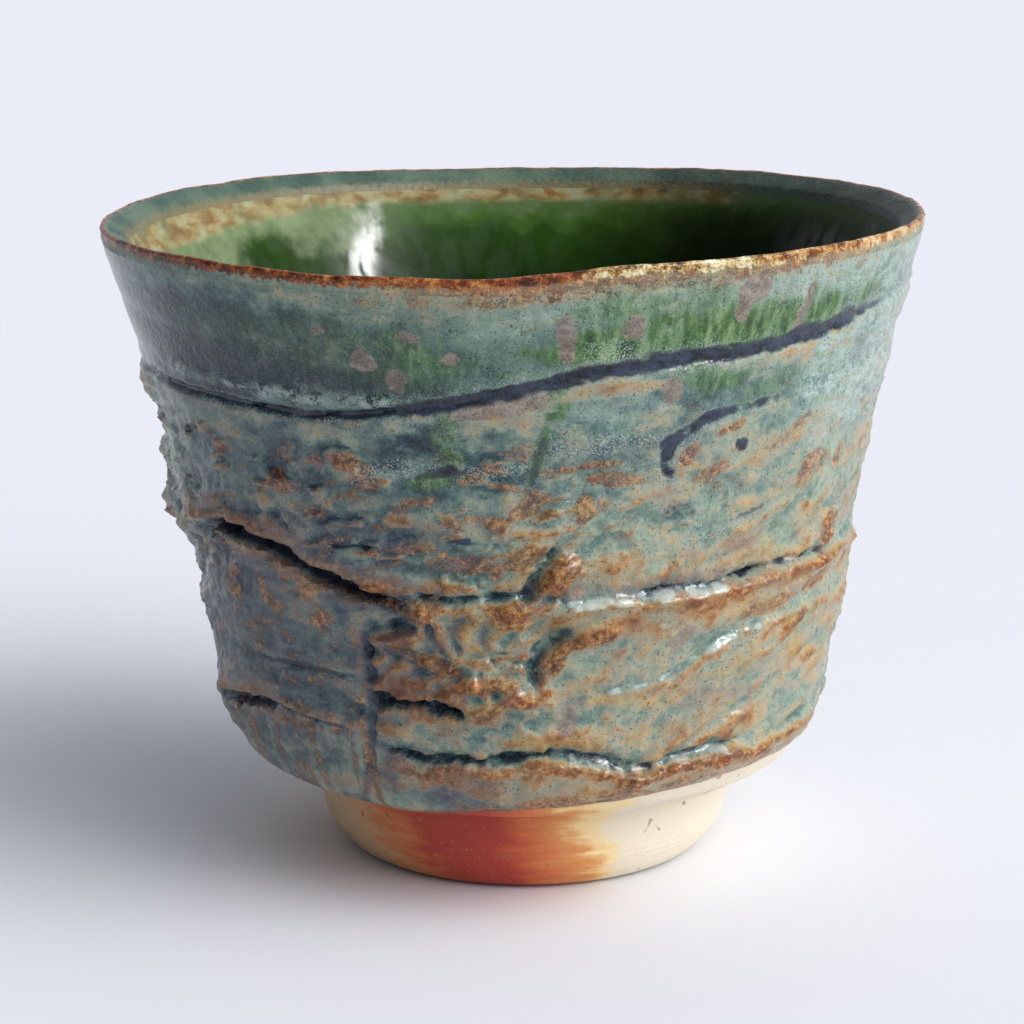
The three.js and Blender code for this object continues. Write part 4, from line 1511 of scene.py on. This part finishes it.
@dataclass(frozen=True)
class IronLip(AshGlaze):
    """The thin brown glaze on the lip's edge, which runs into the wall's coat and the lining's."""

    iron: Ramp = (
        (0.36, srgb(44, 24, 18)), (0.50, srgb(84, 42, 24)), (0.62, srgb(136, 70, 34)),
        (0.74, srgb(178, 118, 60)), (0.90, srgb(204, 164, 106)),
    )
    # Painted highlight: gold to near-white glints on the lip.
    gold_glint: Ramp = (
        (0.34, srgb(64, 44, 30)), (0.45, srgb(150, 108, 58)), (0.56, srgb(200, 182, 126)),
        (0.70, srgb(232, 228, 204)),
    )

    def lining(self, sheet: GlazeSheet) -> Socket:
        """Colours the inner side as the top of the lining: grey green, ochre in part, and darkened by
        painted shade at the right.

        Args:
            sheet: The material's nodes.

        Returns:
            The colour.
        """
        cloudy = sheet.rising(sheet.mark("Clouds"), 0.35, 0.65)
        base = sheet.mix(cloudy, srgb(58, 84, 74), srgb(92, 112, 94))
        ochre = sheet.times(sheet.attribute("ochre"), sheet.attribute("low"))
        ochre = sheet.rising(sheet.plus(ochre, sheet.swing(sheet.fine, 1.2)), 0.2, 0.9, top=0.6)
        base = sheet.mix(ochre, base, srgb(142, 124, 82))
        # Painted shade: the inner side goes dark at the right, as the lining does.
        return sheet.mix(sheet.times(sheet.attribute("shade"), 0.6), base, srgb(44, 38, 34))

    def colour(self, sheet: GlazeSheet) -> Socket:
        """Feeds the shader's colour and gloss.

        Args:
            sheet: The material's nodes.

        Returns:
            The height of the surface's fine grain.
        """
        base, _ = self.coats(sheet)
        warm = sheet.plus(sheet.grain, sheet.times(sheet.attribute("warm"), 0.26))
        iron = sheet.ramp(warm, self.iron)
        # Painted highlight: gold glints on the lip at the front right.
        iron = sheet.mix(sheet.attribute("gold_glint"), iron, sheet.ramp(sheet.grain, self.gold_glint))
        edge = sheet.plus(sheet.attribute("edge"), sheet.swing(sheet.fine, 1.6))
        edge = sheet.rising(edge, 0.3, 0.7)
        base = sheet.mix(edge, base, iron)
        inside = sheet.plus(sheet.attribute("inside"), sheet.swing(sheet.fine, 1.0))
        inside = sheet.rising(inside, 0.35, 0.65)
        base = sheet.mix(inside, base, self.lining(sheet))
        sheet.dress("Base Color", base)
        sheet.dress("Roughness", sheet.minus(0.5, sheet.times(edge, 0.2)))
        sheet.dress("Specular IOR Level", 0.25)
        return sheet.height


@dataclass(frozen=True)
class GreenGlass(Finish):
    """The lining: pale at the lip, a broken ochre band below it, pooled green glass in the bowl, and
    painted shade on its right side.
    """

    bowl_depth: float = 20.0
    glass: Ramp = (
        (0.03, srgb(80, 104, 92)), (0.11, srgb(94, 114, 76)), (0.19, srgb(64, 94, 34)),
        (0.28, srgb(38, 68, 12)), (0.50, srgb(20, 46, 6)), (1.0, srgb(40, 72, 22)),
    )
    ochre: Ramp = (
        (0.30, srgb(104, 64, 34)), (0.42, srgb(146, 102, 54)), (0.54, srgb(164, 146, 100)),
        (0.70, srgb(166, 168, 136)),
    )

    def colour(self, sheet: FinishSheet) -> Socket:
        """Feeds the shader's colour and gloss.

        Args:
            sheet: The material's nodes.

        Returns:
            The height of the surface's fine grain.
        """
        fine = sheet.noise(sheet.place((1.0, 1.0, 1.6)), 1.8, detail=3.0, roughness=0.5, warp=0.3)
        clouds = sheet.mark("Clouds")
        depth = sheet.plus(sheet.attribute("depth"), sheet.swing(clouds, 6.0), sheet.swing(fine, 3.0))
        base = sheet.ramp(sheet.math("DIVIDE", depth, self.bowl_depth), self.glass)
        pale = sheet.plus(sheet.attribute("pale"), sheet.swing(clouds, 2.4))
        pale = sheet.rising(pale, 0.2, 1.4, top=0.7)
        pale = sheet.times(pale, sheet.rising(sheet.attribute("pale"), 0.0, 0.2))
        base = sheet.mix(pale, base, srgb(148, 162, 124))
        ochre = sheet.plus(sheet.attribute("ochre"), sheet.swing(clouds, 1.6), sheet.swing(fine, 1.0))
        ochre = sheet.rising(ochre, 0.25, 1.2, top=0.8)
        ochre = sheet.times(ochre, sheet.rising(sheet.attribute("ochre"), 0.0, 0.2))
        base = sheet.mix(ochre, base, sheet.ramp(fine, self.ochre))
        # Painted shade: the bowl's right side goes near black.
        base = sheet.mix(sheet.attribute("shade"), base, srgb(12, 15, 10))
        sheet.dress("Base Color", base)
        sheet.dress("Roughness", sheet.minus(0.5, sheet.rising(depth, 2.0, 6.0, top=0.16)))
        broken = sheet.rising(sheet.noise(sheet.place((1.0, 1.0, 0.4)), 1.6, detail=2.0), 0.36, 0.56)
        broken = sheet.math("MAXIMUM", broken, sheet.rising(depth, 10.0, 16.0))
        glassy = sheet.rising(depth, 2.5, 6.0, top=0.45)
        glassy = sheet.minus(glassy, sheet.rising(depth, 10.0, 20.0, top=0.3))
        sheet.dress("Coat Weight", sheet.times(broken, glassy))
        sheet.dress("Coat Roughness", 0.12)
        sheet.dress("Specular IOR Level", 0.07)
        return fine


@dataclass(frozen=True)
class FlashedClay(Finish):
    """Bare clay that the fire flashed: tan and orange at the left, red at the front, cream at the right."""

    middle: float = 1.3
    matt: float = 0.7
    flash: Ramp = (
        (0.02, srgb(236, 224, 198)), (0.16, srgb(222, 196, 156)), (0.34, srgb(196, 166, 130)),
        (0.375, srgb(202, 158, 112)), (0.40, srgb(200, 114, 62)), (0.42, srgb(176, 64, 44)),
        (0.48, srgb(176, 60, 46)), (0.51, srgb(206, 106, 60)), (0.54, srgb(220, 152, 88)),
        (0.555, srgb(242, 214, 154)), (0.57, srgb(234, 222, 198)), (0.98, srgb(234, 224, 202)),
    )

    def colour(self, sheet: FinishSheet) -> Socket:
        """Feeds the shader's colour and gloss.

        Args:
            sheet: The material's nodes.

        Returns:
            The height of the surface's fine grain.
        """
        parts = sheet.node("ShaderNodeSeparateXYZ", {0: sheet.place()}).outputs
        right = sheet.minus(parts[0], self.middle)
        angle = sheet.times(sheet.math("ARCTAN2", right, sheet.times(parts[1], -1.0)), 180.0 / math.pi)
        streak = sheet.noise(sheet.place((0.25, 0.25, 1.6)), 1.4, detail=4.0)
        drift = sheet.plus(sheet.swing(sheet.mark("Clouds"), 26.0), sheet.swing(streak, 24.0))
        drift = sheet.plus(drift, sheet.times(sheet.minus(parts[2], 4.0), 1.2))
        turn = sheet.math("DIVIDE", sheet.plus(angle, drift, 180.0), 360.0)
        base = sheet.ramp(turn, self.flash)
        base = sheet.mix(sheet.times(sheet.mark("Dark Specks"), 0.12), base, srgb(110, 70, 44))
        base = sheet.mix(sheet.times(sheet.mark("Pale Specks"), 0.10), base, srgb(240, 228, 204))
        pits = sheet.rising(sheet.noise(sheet.place(), 1.3, detail=1.0), 0.71, 0.76, top=0.6)
        base = sheet.mix(pits, base, srgb(112, 92, 68))
        sheet.dress("Base Color", base)
        sheet.dress("Roughness", sheet.rising(sheet.mark("Clouds"), -1.0, 0.9, top=self.matt))
        return sheet.mark("Grain")


# Pieces turned on the wheel


class TurnedForms:
    """The tree that turns a profile into a solid with the rings that fingers or a tool leave on it."""

    sewing_gap: float = 1e-6
    sharp_degrees: float = 40.0

    def __init__(self) -> None:
        """Builds the tree once."""
        tree = bpy.data.node_groups.new("Turned Form", "GeometryNodeTree")
        add_input(tree, "Profile", "NodeSocketGeometry")
        add_input(tree, "Segments", "NodeSocketInt", start=256)
        add_input(tree, "Rows", "NodeSocketInt", start=120)
        add_input(tree, "Ring Depth", "NodeSocketFloat", start=0.0)
        add_input(tree, "Ring Count", "NodeSocketFloat", start=12.0)
        add_input(tree, "Rings From", "NodeSocketFloat", start=0.0)
        add_input(tree, "Rings To", "NodeSocketFloat", start=1.0)
        add_input(tree, "Finish", "NodeSocketMaterial")
        tree.interface.new_socket(name="Solid", in_out="OUTPUT", socket_type="NodeSocketGeometry")
        sheet = NodeSheet(tree)
        given = sheet.node("NodeGroupInput").outputs
        # A flat grid, whose X becomes the turn round the cup and whose Y the way along the profile
        size = {"Size X": 1.0, "Size Y": 1.0, "Vertices Y": given["Rows"]}
        size["Vertices X"] = sheet.plus(given["Segments"], 1.0)
        grid = sheet.node("GeometryNodeMeshGrid", size).outputs[0]
        spot = sheet.node("GeometryNodeInputPosition").outputs[0]
        parts = sheet.node("ShaderNodeSeparateXYZ", {0: spot}).outputs
        along = sheet.plus(parts[1], 0.5)
        line = sheet.node("GeometryNodeMeshToCurve", {0: given["Profile"]}).outputs[0]
        sample = sheet.node("GeometryNodeSampleCurve", {"Curves": line, "Factor": along}, mode="FACTOR")
        # The rings, which run in a spiral over part of the profile
        square = sheet.vector("CROSS_PRODUCT", sample.outputs["Tangent"], (0.0, 1.0, 0.0))
        spiral = sheet.plus(sheet.times(along, given["Ring Count"]), parts[0])
        wave = sheet.math("SINE", sheet.times(spiral, math.tau))
        begun = sheet.math("GREATER_THAN", along, given["Rings From"])
        ended = sheet.math("LESS_THAN", along, given["Rings To"])
        depth = sheet.times(sheet.times(begun, ended), given["Ring Depth"])
        rings = {0: square, "Scale": sheet.times(wave, depth)}
        lift = sheet.node("ShaderNodeVectorMath", rings, operation="SCALE").outputs[0]
        placed = sheet.vector("ADD", sample.outputs["Position"], lift)
        # The turn, and the finished solid
        quarter = sheet.minus(sheet.times(parts[0], math.tau), math.pi / 2.0)
        turning = {"Vector": placed, "Angle": quarter}
        turned = sheet.node("ShaderNodeVectorRotate", turning, rotation_type="Z_AXIS").outputs[0]
        solid = sheet.node("GeometryNodeSetPosition", {"Geometry": grid, "Position": turned}).outputs[0]
        sewing = {"Geometry": solid, "Distance": self.sewing_gap}
        solid = sheet.node("GeometryNodeMergeByDistance", sewing).outputs[0]
        solid = sheet.node("GeometryNodeSetShadeSmooth", {"Geometry": solid}).outputs[0]
        solid = sheet.node("GeometryNodeRealizeInstances", {"Geometry": solid}).outputs[0]
        dressing = {"Geometry": solid, "Material": given["Finish"]}
        solid = sheet.node("GeometryNodeSetMaterial", dressing).outputs[0]
        sheet.feed(sheet.node("NodeGroupOutput").inputs["Solid"], solid)
        self.tree = tree

    def turn(
        self, name: str, profile: Points, finish: Material, **sizes: float
    ) -> Object:
        """Turns a profile into a piece.

        Args:
            name: The piece's name.
            profile: Points of (radius, height) in mm, from one end to the other or back to the first.
            finish: Its material.
            sizes: The tree's other inputs by name, with _ for a space.

        Returns:
            The piece, as a plain mesh.
        """
        line = bpy.data.meshes.new(name)
        points = [(radius * MM, 0.0, height * MM) for radius, height in profile]
        line.from_pydata(points, [(i, i + 1) for i in range(len(points) - 1)], [])
        values = {key.replace("_", " ").title(): value for key, value in sizes.items()}
        return self.keep_plain(piece_of(line), {**values, "Finish": finish})

    def keep_plain(self, made: Object, values: dict[str, Any]) -> Object:
        """Runs the tree on an object and keeps the result as its plain mesh.

        Args:
            made: The object whose mesh goes in.
            values: The tree's inputs by name.

        Returns:
            The same object.
        """
        modifier = made.modifiers.new(self.tree.name, "NODES")
        modifier.node_group = self.tree
        for item in self.tree.interface.items_tree:
            if item.in_out == "INPUT" and item.name in values:
                modifier[item.identifier] = values[item.name]
        graph = bpy.context.evaluated_depsgraph_get()
        mesh = bpy.data.meshes.new_from_object(made.evaluated_get(graph), depsgraph=graph)
        made.modifiers.remove(modifier)
        made.data = mesh
        mesh.name = made.name
        mesh.set_sharp_from_angle(angle=math.radians(self.sharp_degrees))
        return made


@dataclass
class LipBead:
    """The thin brown bead over the lip, between the outer coat and the lining."""

    form: CupForm
    columns: int = 640
    seed: int = 5
    clearance: float = 0.12
    wander: float = 0.04
    beading: float = 0.06
    sag: float = 0.10
    sharp_degrees: float = 60.0
    warmth: Points = (
        (-150, 0.6), (-80, 0.4), (-60, 0.1), (-40, 0.15), (-20, 0.5), (0, 0.45), (10, 0.55), (30, 0.9),
        (60, 1.0), (120, 0.7),
    )

    def loop(self) -> Array:
        """Lays out the bead's section, from its outer foot over the lip to its inner one and back below.

        Returns:
            A row for each point: radius, height, how uneven it is, how near the edge, and how far inside.
        """
        form = self.form
        low = form.lip_height - form.lip_band
        outer = float(form.wall_radius(np.array([low]))[0]) - 0.02
        inner, inner_low = form.bowl_levels[-1]
        top = form.lip_radius - self.clearance
        peak = form.lip_height
        return np.array([
            (outer, low, 0.0, -0.25, 0.0),
            (outer + 0.1, low + 0.4, 0.5, 0.3, 0.0),
            (top - 0.1, peak - 0.55, 0.9, 0.75, 0.0),
            (top - 0.02, peak - 0.25, 1.0, 0.9, 0.0),
            (top - 0.1, peak - 0.06, 1.0, 1.2, 0.0),
            (top - 0.28, peak, 1.0, 1.2, 0.2),
            (top - 0.46, peak - 0.1, 1.0, 0.9, 0.6),
            (top - 0.8, peak - 0.45, 0.6, 0.2, 1.0),
            (inner + 0.10, inner_low + 0.24, 0.2, 0.0, 1.0),
            (inner - 0.03, inner_low, 0.0, 0.0, 1.0),
            (inner - 0.28, inner_low - 0.5, 0.0, 0.0, 1.0),
            (inner + 0.6, low, 0.0, 0.0, 1.0),
            (outer - 0.6, low, 0.0, 0.0, 0.0),
        ])

    def build(self, finish: Material) -> Object:
        """Makes the bead with the attributes that its finish reads.

        Args:
            finish: Its material.

        Returns:
            The piece.
        """
        form = self.form
        loop_radius, loop_height, loop_uneven, edge, inside = self.loop().T
        count = len(loop_radius)
        degrees = np.linspace(-180.0, 180.0, self.columns, endpoint=False)
        around = degrees * form.girth / 360.0
        noise = ClayNoise(self.seed, form.girth)
        along = np.repeat(around[:, None], count, axis=1)
        up = np.repeat(loop_height[None, :] * 3.0, self.columns, axis=0)
        uneven = noise.rough(around, np.zeros_like(around), (5.0, 1.0), octaves=4)[:, None] * loop_uneven
        beads = noise.rough(along, up, (0.9, 0.9), octaves=2) * loop_uneven
        radius = loop_radius + self.wander * uneven + self.beading * beads
        height = loop_height + self.sag * (uneven - 0.6 * loop_uneven)
        spread = np.repeat(degrees[:, None], count, axis=1)
        mesh = closed_shell("lip_bead", form.settle(spread, radius, height))
        mesh.set_sharp_from_angle(angle=math.radians(self.sharp_degrees))
        curves = {
            # Where the painted gold glints lie on the lip.
            "gold_glint": between(degrees, 12.0, 30.0, 5.0) + 0.45 * between(degrees, 36.0, 90.0, 10.0),
            "warm": round_the_cup(self.warmth, degrees),
            "thick": form.lip_run(degrees),
            # The inside's painted shade, as on the lining.
            "shade": form.inner_shade(degrees),
            "ochre": form.ochre_share(degrees),
            "iron": 0.22 + 0.5 * between(degrees, -8.0, 50.0, 10.0),
        }
        for name, values in curves.items():
            store(mesh, name, np.repeat(values[:, None], count, axis=1))
        for name, values in (("edge", edge), ("inside", inside)):
            store(mesh, name, np.repeat(values[None, :], self.columns, axis=0))
        store(mesh, "low", np.clip(form.lip_height - 0.6 - height, 0.0, 1.0))
        mesh.materials.append(finish)
        return piece_of(mesh)


@dataclass
class GreenLining:
    """The glass that lines the bowl, with one dark pool among its pale runs at the back left."""

    form: CupForm
    rows: int = 60
    ripple: float = 0.035
    pool_at: Pair = (49.0, 6.0)
    pool_half: Pair = (6.5, 1.7)

    def profile(self, thickness: float) -> list[Pair]:
        """Lays out the lining's section.

        Args:
            thickness: How far its back lies behind its face.

        Returns:
            Points of (radius, height): the back from the floor's middle up, and the face down again.
        """
        radius, height = np.array(self.form.bowl_levels).T
        along = np.concatenate([[0.0], np.cumsum(np.hypot(np.diff(radius), np.diff(height)))])
        places = np.linspace(0.0, along[-1], self.rows)
        face_r = curve_through(np.stack([along, radius], axis=-1), places)
        face_z = curve_through(np.stack([along, height], axis=-1), places)
        slope = np.stack([np.gradient(face_r), np.gradient(face_z)])
        slope /= np.hypot(*slope)
        back_r = np.maximum(face_r + slope[1] * thickness, 0.0)
        back_r[0] = 0.0
        back_z = face_z - slope[0] * thickness
        return [*zip(back_r, back_z), *zip(face_r[::-1], face_z[::-1])]

    def build(self, wheel: TurnedForms, finish: Material) -> Object:
        """Turns the lining and marks how its colours lie.

        Args:
            wheel: What turns it.
            finish: Its material.

        Returns:
            The piece.
        """
        form = self.form
        made = wheel.turn(
            "green_lining", self.profile(form.lining), finish, segments=256, rows=260,
            ring_depth=0.008 * MM, ring_count=24.0, rings_from=0.5,
        )
        degrees, height = form.settle_mesh(made.data, ripple=self.ripple)
        depth = form.lip_height - height
        back = wrapped(degrees - 180.0)
        left = smooth_step(back, 20.0, 80.0)
        off_turn = (back - self.pool_at[0]) / self.pool_half[0]
        off_depth = (depth - self.pool_at[1]) / self.pool_half[1]
        pool = np.exp(-(off_turn**2) - off_depth**2)
        # Painted shade: the right side of the bowl is darkened, less so near the lip and on the floor.
        shade = form.inner_shade(degrees) * (0.45 + 0.55 * smooth_step(depth, 1.0, 5.0))
        values = {
            "depth": depth + 1.2 * pool,
            "ochre": between(depth - 1.4 * left, 0.6, 2.3, 1.1) * form.ochre_share(degrees),
            "pale": between(depth, 2.0, 6.0, 2.5) * between(back, 38.0, 115.0, 24.0) * (1.0 - pool),
            "shade": shade * (1.0 - 0.75 * smooth_step(depth, 11.0, 22.0)),
        }
        for name, amount in values.items():
            store(made.data, name, amount)
        return made


@dataclass
class TurnedFoot:
    """The bare foot ring: a flat resting face, a full round side and a straight bore."""

    form: CupForm
    rest_edge: float = 0.35
    side: Points = (
        (0.0, 13.6), (0.25, 14.5), (0.8, 15.3), (1.6, 15.95), (2.5, 16.45), (4.0, 16.9), (5.5, 17.12),
        (7.2, 17.2),
    )
    levels: Sequence[float] = (0.0, 0.05, 0.15, 0.3, 0.5, 0.8, 1.2, 1.6, 2.1, 2.6, 3.2, 4.0, 5.0, 6.0)

    def build(self, wheel: TurnedForms, finish: Material) -> Object:
        """Turns the foot.

        Args:
            wheel: What turns it.
            finish: Its material.

        Returns:
            The piece.
        """
        form = self.form
        heights = np.array([*self.levels, form.foot_height])
        profile = [
            (form.hollow_radius, self.rest_edge),
            (form.hollow_radius + self.rest_edge, 0.0),
            *zip(curve_through(self.side, heights), heights),
            (form.hollow_radius, form.foot_height),
            (form.hollow_radius, self.rest_edge),
        ]
        made = wheel.turn(
            "turned_foot", profile, finish, segments=256, rows=200,
            ring_depth=0.015 * MM, ring_count=46.0, rings_from=0.26, rings_to=0.52,
        )
        form.settle_mesh(made.data)
        return made


@dataclass
class ThrownClay:
    """The clay under the coats, with the boss under its floor that the foot ring is set round."""

    form: CupForm
    hem_levels: Sequence[float] = (7.6, 8.2, 9.0, 10.0, 11.0)
    wall_from: float = 12.5
    wall_rows: int = 16
    below_lip: float = 1.4

    def build(self, wheel: TurnedForms, finish: Material) -> Object:
        """Turns the clay body.

        Args:
            wheel: What turns it.
            finish: Its material.

        Returns:
            The piece.
        """
        form = self.form
        boss = form.hollow_radius - form.bond
        seat = form.foot_height + form.bond
        wall = np.linspace(self.wall_from, form.lip_height - self.below_lip, self.wall_rows)
        heights = np.concatenate([self.hem_levels, wall])
        outside = form.wall_radius(heights) - form.coat_depth(heights) - form.bond
        lining = GreenLining(form)
        bowl = lining.profile(form.lining + form.bond)[: lining.rows]
        profile = [
            (0.0, form.hollow_depth - form.hollow_peak),
            (boss * 0.5, form.hollow_depth - 0.5 * form.hollow_peak),
            (boss, form.hollow_depth),
            (boss, seat),
            (form.foot_radius, seat),
            *zip(outside, heights),
            *bowl[::-1],
        ]
        made = wheel.turn(
            "thrown_clay", profile, finish, segments=192, rows=300,
            ring_depth=0.06 * MM, ring_count=110.0, rings_to=0.09,
        )
        form.settle_mesh(made.data)
        return made


# The studio


@dataclass(frozen=True)
class Studio:
    """A pale floor, a large window at the right front, a room that is brighter on that side, and a camera.

    Lengths are metres, and turns and rises are degrees. Fades are (from, to), by how nearly a direction is
    that of one side of the room.
    """

    eye: Triple = (0.0, -0.240, 0.0842)
    look_at: Triple = (0.0, 0.0, 0.0273)
    lens: float = 105.47
    sensor: float = 36.0
    nearest: float = 0.01
    floor_half: float = 4.0
    paper: Colour = srgb(228, 229, 234)
    window_turn: float = 62.0
    window_rise: float = 38.0
    window_widths: tuple[float, ...] = (76.0, 56.0, 36.0)
    window_power: float = 3.15
    window_tint: Triple = (1.0, 0.99, 0.985)
    pane_size: Pair = (0.15, 0.62)
    pane_away: float = 1.2
    pane_power: float = 17.0
    room_tint: Colour = srgb(236, 241, 253)
    room_dim: float = 0.05
    room_bright: float = 0.74
    room_fade: Pair = (-0.35, 0.95)
    sky_rise: float = 62.0
    dark_turn: float = -66.0
    dark_rise: float = 16.0
    dark_fade: Pair = (0.3, 0.9)
    dark_depth: float = 0.85
    back_turn: float = 180.0
    back_rise: float = 8.0
    back_fade: Pair = (0.1, 0.8)
    back_bright: float = 0.66

    @staticmethod
    def towards(turn_degrees: float, rise_degrees: float) -> Vector:
        """Finds a direction.

        Args:
            turn_degrees: Its angle round the cup.
            rise_degrees: Its angle above level.

        Returns:
            The direction, of length 1.
        """
        turn = math.radians(turn_degrees)
        rise = math.radians(rise_degrees)
        return Vector((math.sin(turn) * math.cos(rise), -math.cos(turn) * math.cos(rise), math.sin(rise)))

    def build(self) -> None:
        """Makes the floor, the lights and the camera."""
        self.make_floor()
        for width in self.window_widths:
            self.hang_window(width, self.window_power / len(self.window_widths))
        self.hang_pane()
        self.make_room()
        self.make_camera()
        bpy.context.scene.view_settings.view_transform = "Standard"

    def make_floor(self) -> None:
        """Lays the floor, which isn't part of the cup."""
        half = self.floor_half / MM
        corners = np.array([(-half, -half, 0.0), (half, -half, 0.0), (half, half, 0.0), (-half, half, 0.0)])
        floor = piece_of(mesh_of("floor", corners, np.array([[0, 1, 2, 3]])))
        paper = bpy.data.materials.new("white_paper")
        paper.use_nodes = True
        shader = paper.node_tree.nodes["Principled BSDF"]
        shader.inputs["Base Color"].default_value = self.paper
        shader.inputs["Roughness"].default_value = 1.0
        shader.inputs["Specular IOR Level"].default_value = 0.0
        floor.data.materials.append(paper)

    def hang(self, lamp: bpy.types.Light, away: float) -> Object:
        """Hangs a lamp on the window's side, so that it faces the cup.

        Args:
            lamp: The lamp.
            away: How far from the cup it hangs.

        Returns:
            Its object, which takes the lamp's name.
        """
        light = bpy.data.objects.new(lamp.name, lamp)
        light.location = away * self.towards(self.window_turn, self.window_rise)
        light.rotation_euler = light.location.to_track_quat("Z", "Y").to_euler()
        bpy.context.scene.collection.objects.link(light)
        return light

    def hang_window(self, width: float, power: float) -> None:
        """Hangs a soft light, which the glaze doesn't mirror.

        Args:
            width: How wide it looks from the cup, in degrees.
            power: How strong it is.
        """
        lamp = bpy.data.lights.new("window", "SUN")
        lamp.angle = math.radians(width)
        lamp.energy = power
        lamp.color = self.window_tint
        self.hang(lamp, 1.0).visible_glossy = False

    def hang_pane(self) -> None:
        """Hangs the tall bright pane that only shows where the glaze mirrors it."""
        lamp = bpy.data.lights.new("pane", "AREA")
        lamp.shape = "RECTANGLE"
        lamp.size, lamp.size_y = self.pane_size
        lamp.energy = self.pane_power
        self.hang(lamp, self.pane_away).visible_diffuse = False

    def make_room(self) -> None:
        """Fills the room with cool light, dim on the side away from the window."""
        world = bpy.data.worlds.new("room")
        world.use_nodes = True
        sheet = ShaderSheet(world.node_tree)
        direction = sheet.node("ShaderNodeTexCoord").outputs["Generated"]

        def facing(turn: float, rise: float) -> Socket:
            """How nearly each direction is that of one side of the room."""
            sides = {0: direction, 1: self.towards(turn, rise)}
            return sheet.node("ShaderNodeVectorMath", sides, operation="DOT_PRODUCT").outputs["Value"]

        bright = facing(self.window_turn, self.sky_rise)
        level = sheet.rising(bright, *self.room_fade, top=self.room_bright, bottom=self.room_dim)
        dark = sheet.rising(facing(self.dark_turn, self.dark_rise), *self.dark_fade, top=self.dark_depth)
        level = sheet.times(level, sheet.minus(1.0, dark))
        back = sheet.rising(facing(self.back_turn, self.back_rise), *self.back_fade, top=self.back_bright)
        level = sheet.math("MAXIMUM", level, back)
        light = sheet.node("ShaderNodeBackground", {"Color": self.room_tint, "Strength": level})
        sheet.feed(sheet.node("ShaderNodeOutputWorld").inputs["Surface"], light.outputs[0])
        bpy.context.scene.world = world

    def make_camera(self) -> None:
        """Sets up the camera."""
        data = bpy.data.cameras.new("camera")
        data.lens = self.lens
        data.sensor_width = self.sensor
        data.clip_start = self.nearest
        camera = bpy.data.objects.new("camera", data)
        camera.location = self.eye
        sight = Vector(self.look_at) - Vector(self.eye)
        camera.rotation_euler = sight.to_track_quat("-Z", "Y").to_euler()
        bpy.context.scene.collection.objects.link(camera)
        bpy.context.scene.camera = camera


# Assembly


def seat_piece(piece: Object, node: str) -> None:
    """Makes a piece stand for a solid of the frame.

    Args:
        piece: The dressed piece.
        node: The solid that it replaces.
    """
    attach(piece, "root")
    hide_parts(node)
    LOG.info("%s stands for %s: %d faces", piece.name, node, len(piece.data.polygons))


def main() -> None:
    """Builds the cup round the frame, dresses it and sets the scene."""
    logging.basicConfig(level=logging.INFO, format="%(message)s")
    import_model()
    form = CupForm.from_frame()
    speckle = kiln_speckle()
    wheel = TurnedForms()
    Studio().build()

    ash = AshGlaze("ash_glaze", speckle, speck_size=0.2, cloud_size=4.0, grain_depth=0.08).build()
    seat_piece(TornWall(form).build(ash), "outer_glaze")
    iron = IronLip("iron_lip", speckle, speck_size=0.2, cloud_size=4.0, grain_depth=0.08).build()
    seat_piece(LipBead(form).build(iron), "lip_glaze")
    glass = GreenGlass("green_glass", speckle, speck_size=0.4, cloud_size=3.6).build()
    seat_piece(GreenLining(form).build(wheel, glass), "inner_glaze")
    flashed = FlashedClay("flashed_clay", speckle, cloud_size=7.0, grain_depth=0.02).build()
    seat_piece(TurnedFoot(form).build(wheel, flashed), "foot_ring")
    bare = FlashedClay("bare_clay", speckle, cloud_size=7.0, grain_depth=0.04, matt=0.85).build()
    seat_piece(ThrownClay(form).build(wheel, bare), "clay_body")


if __name__ == "__main__":
    main()
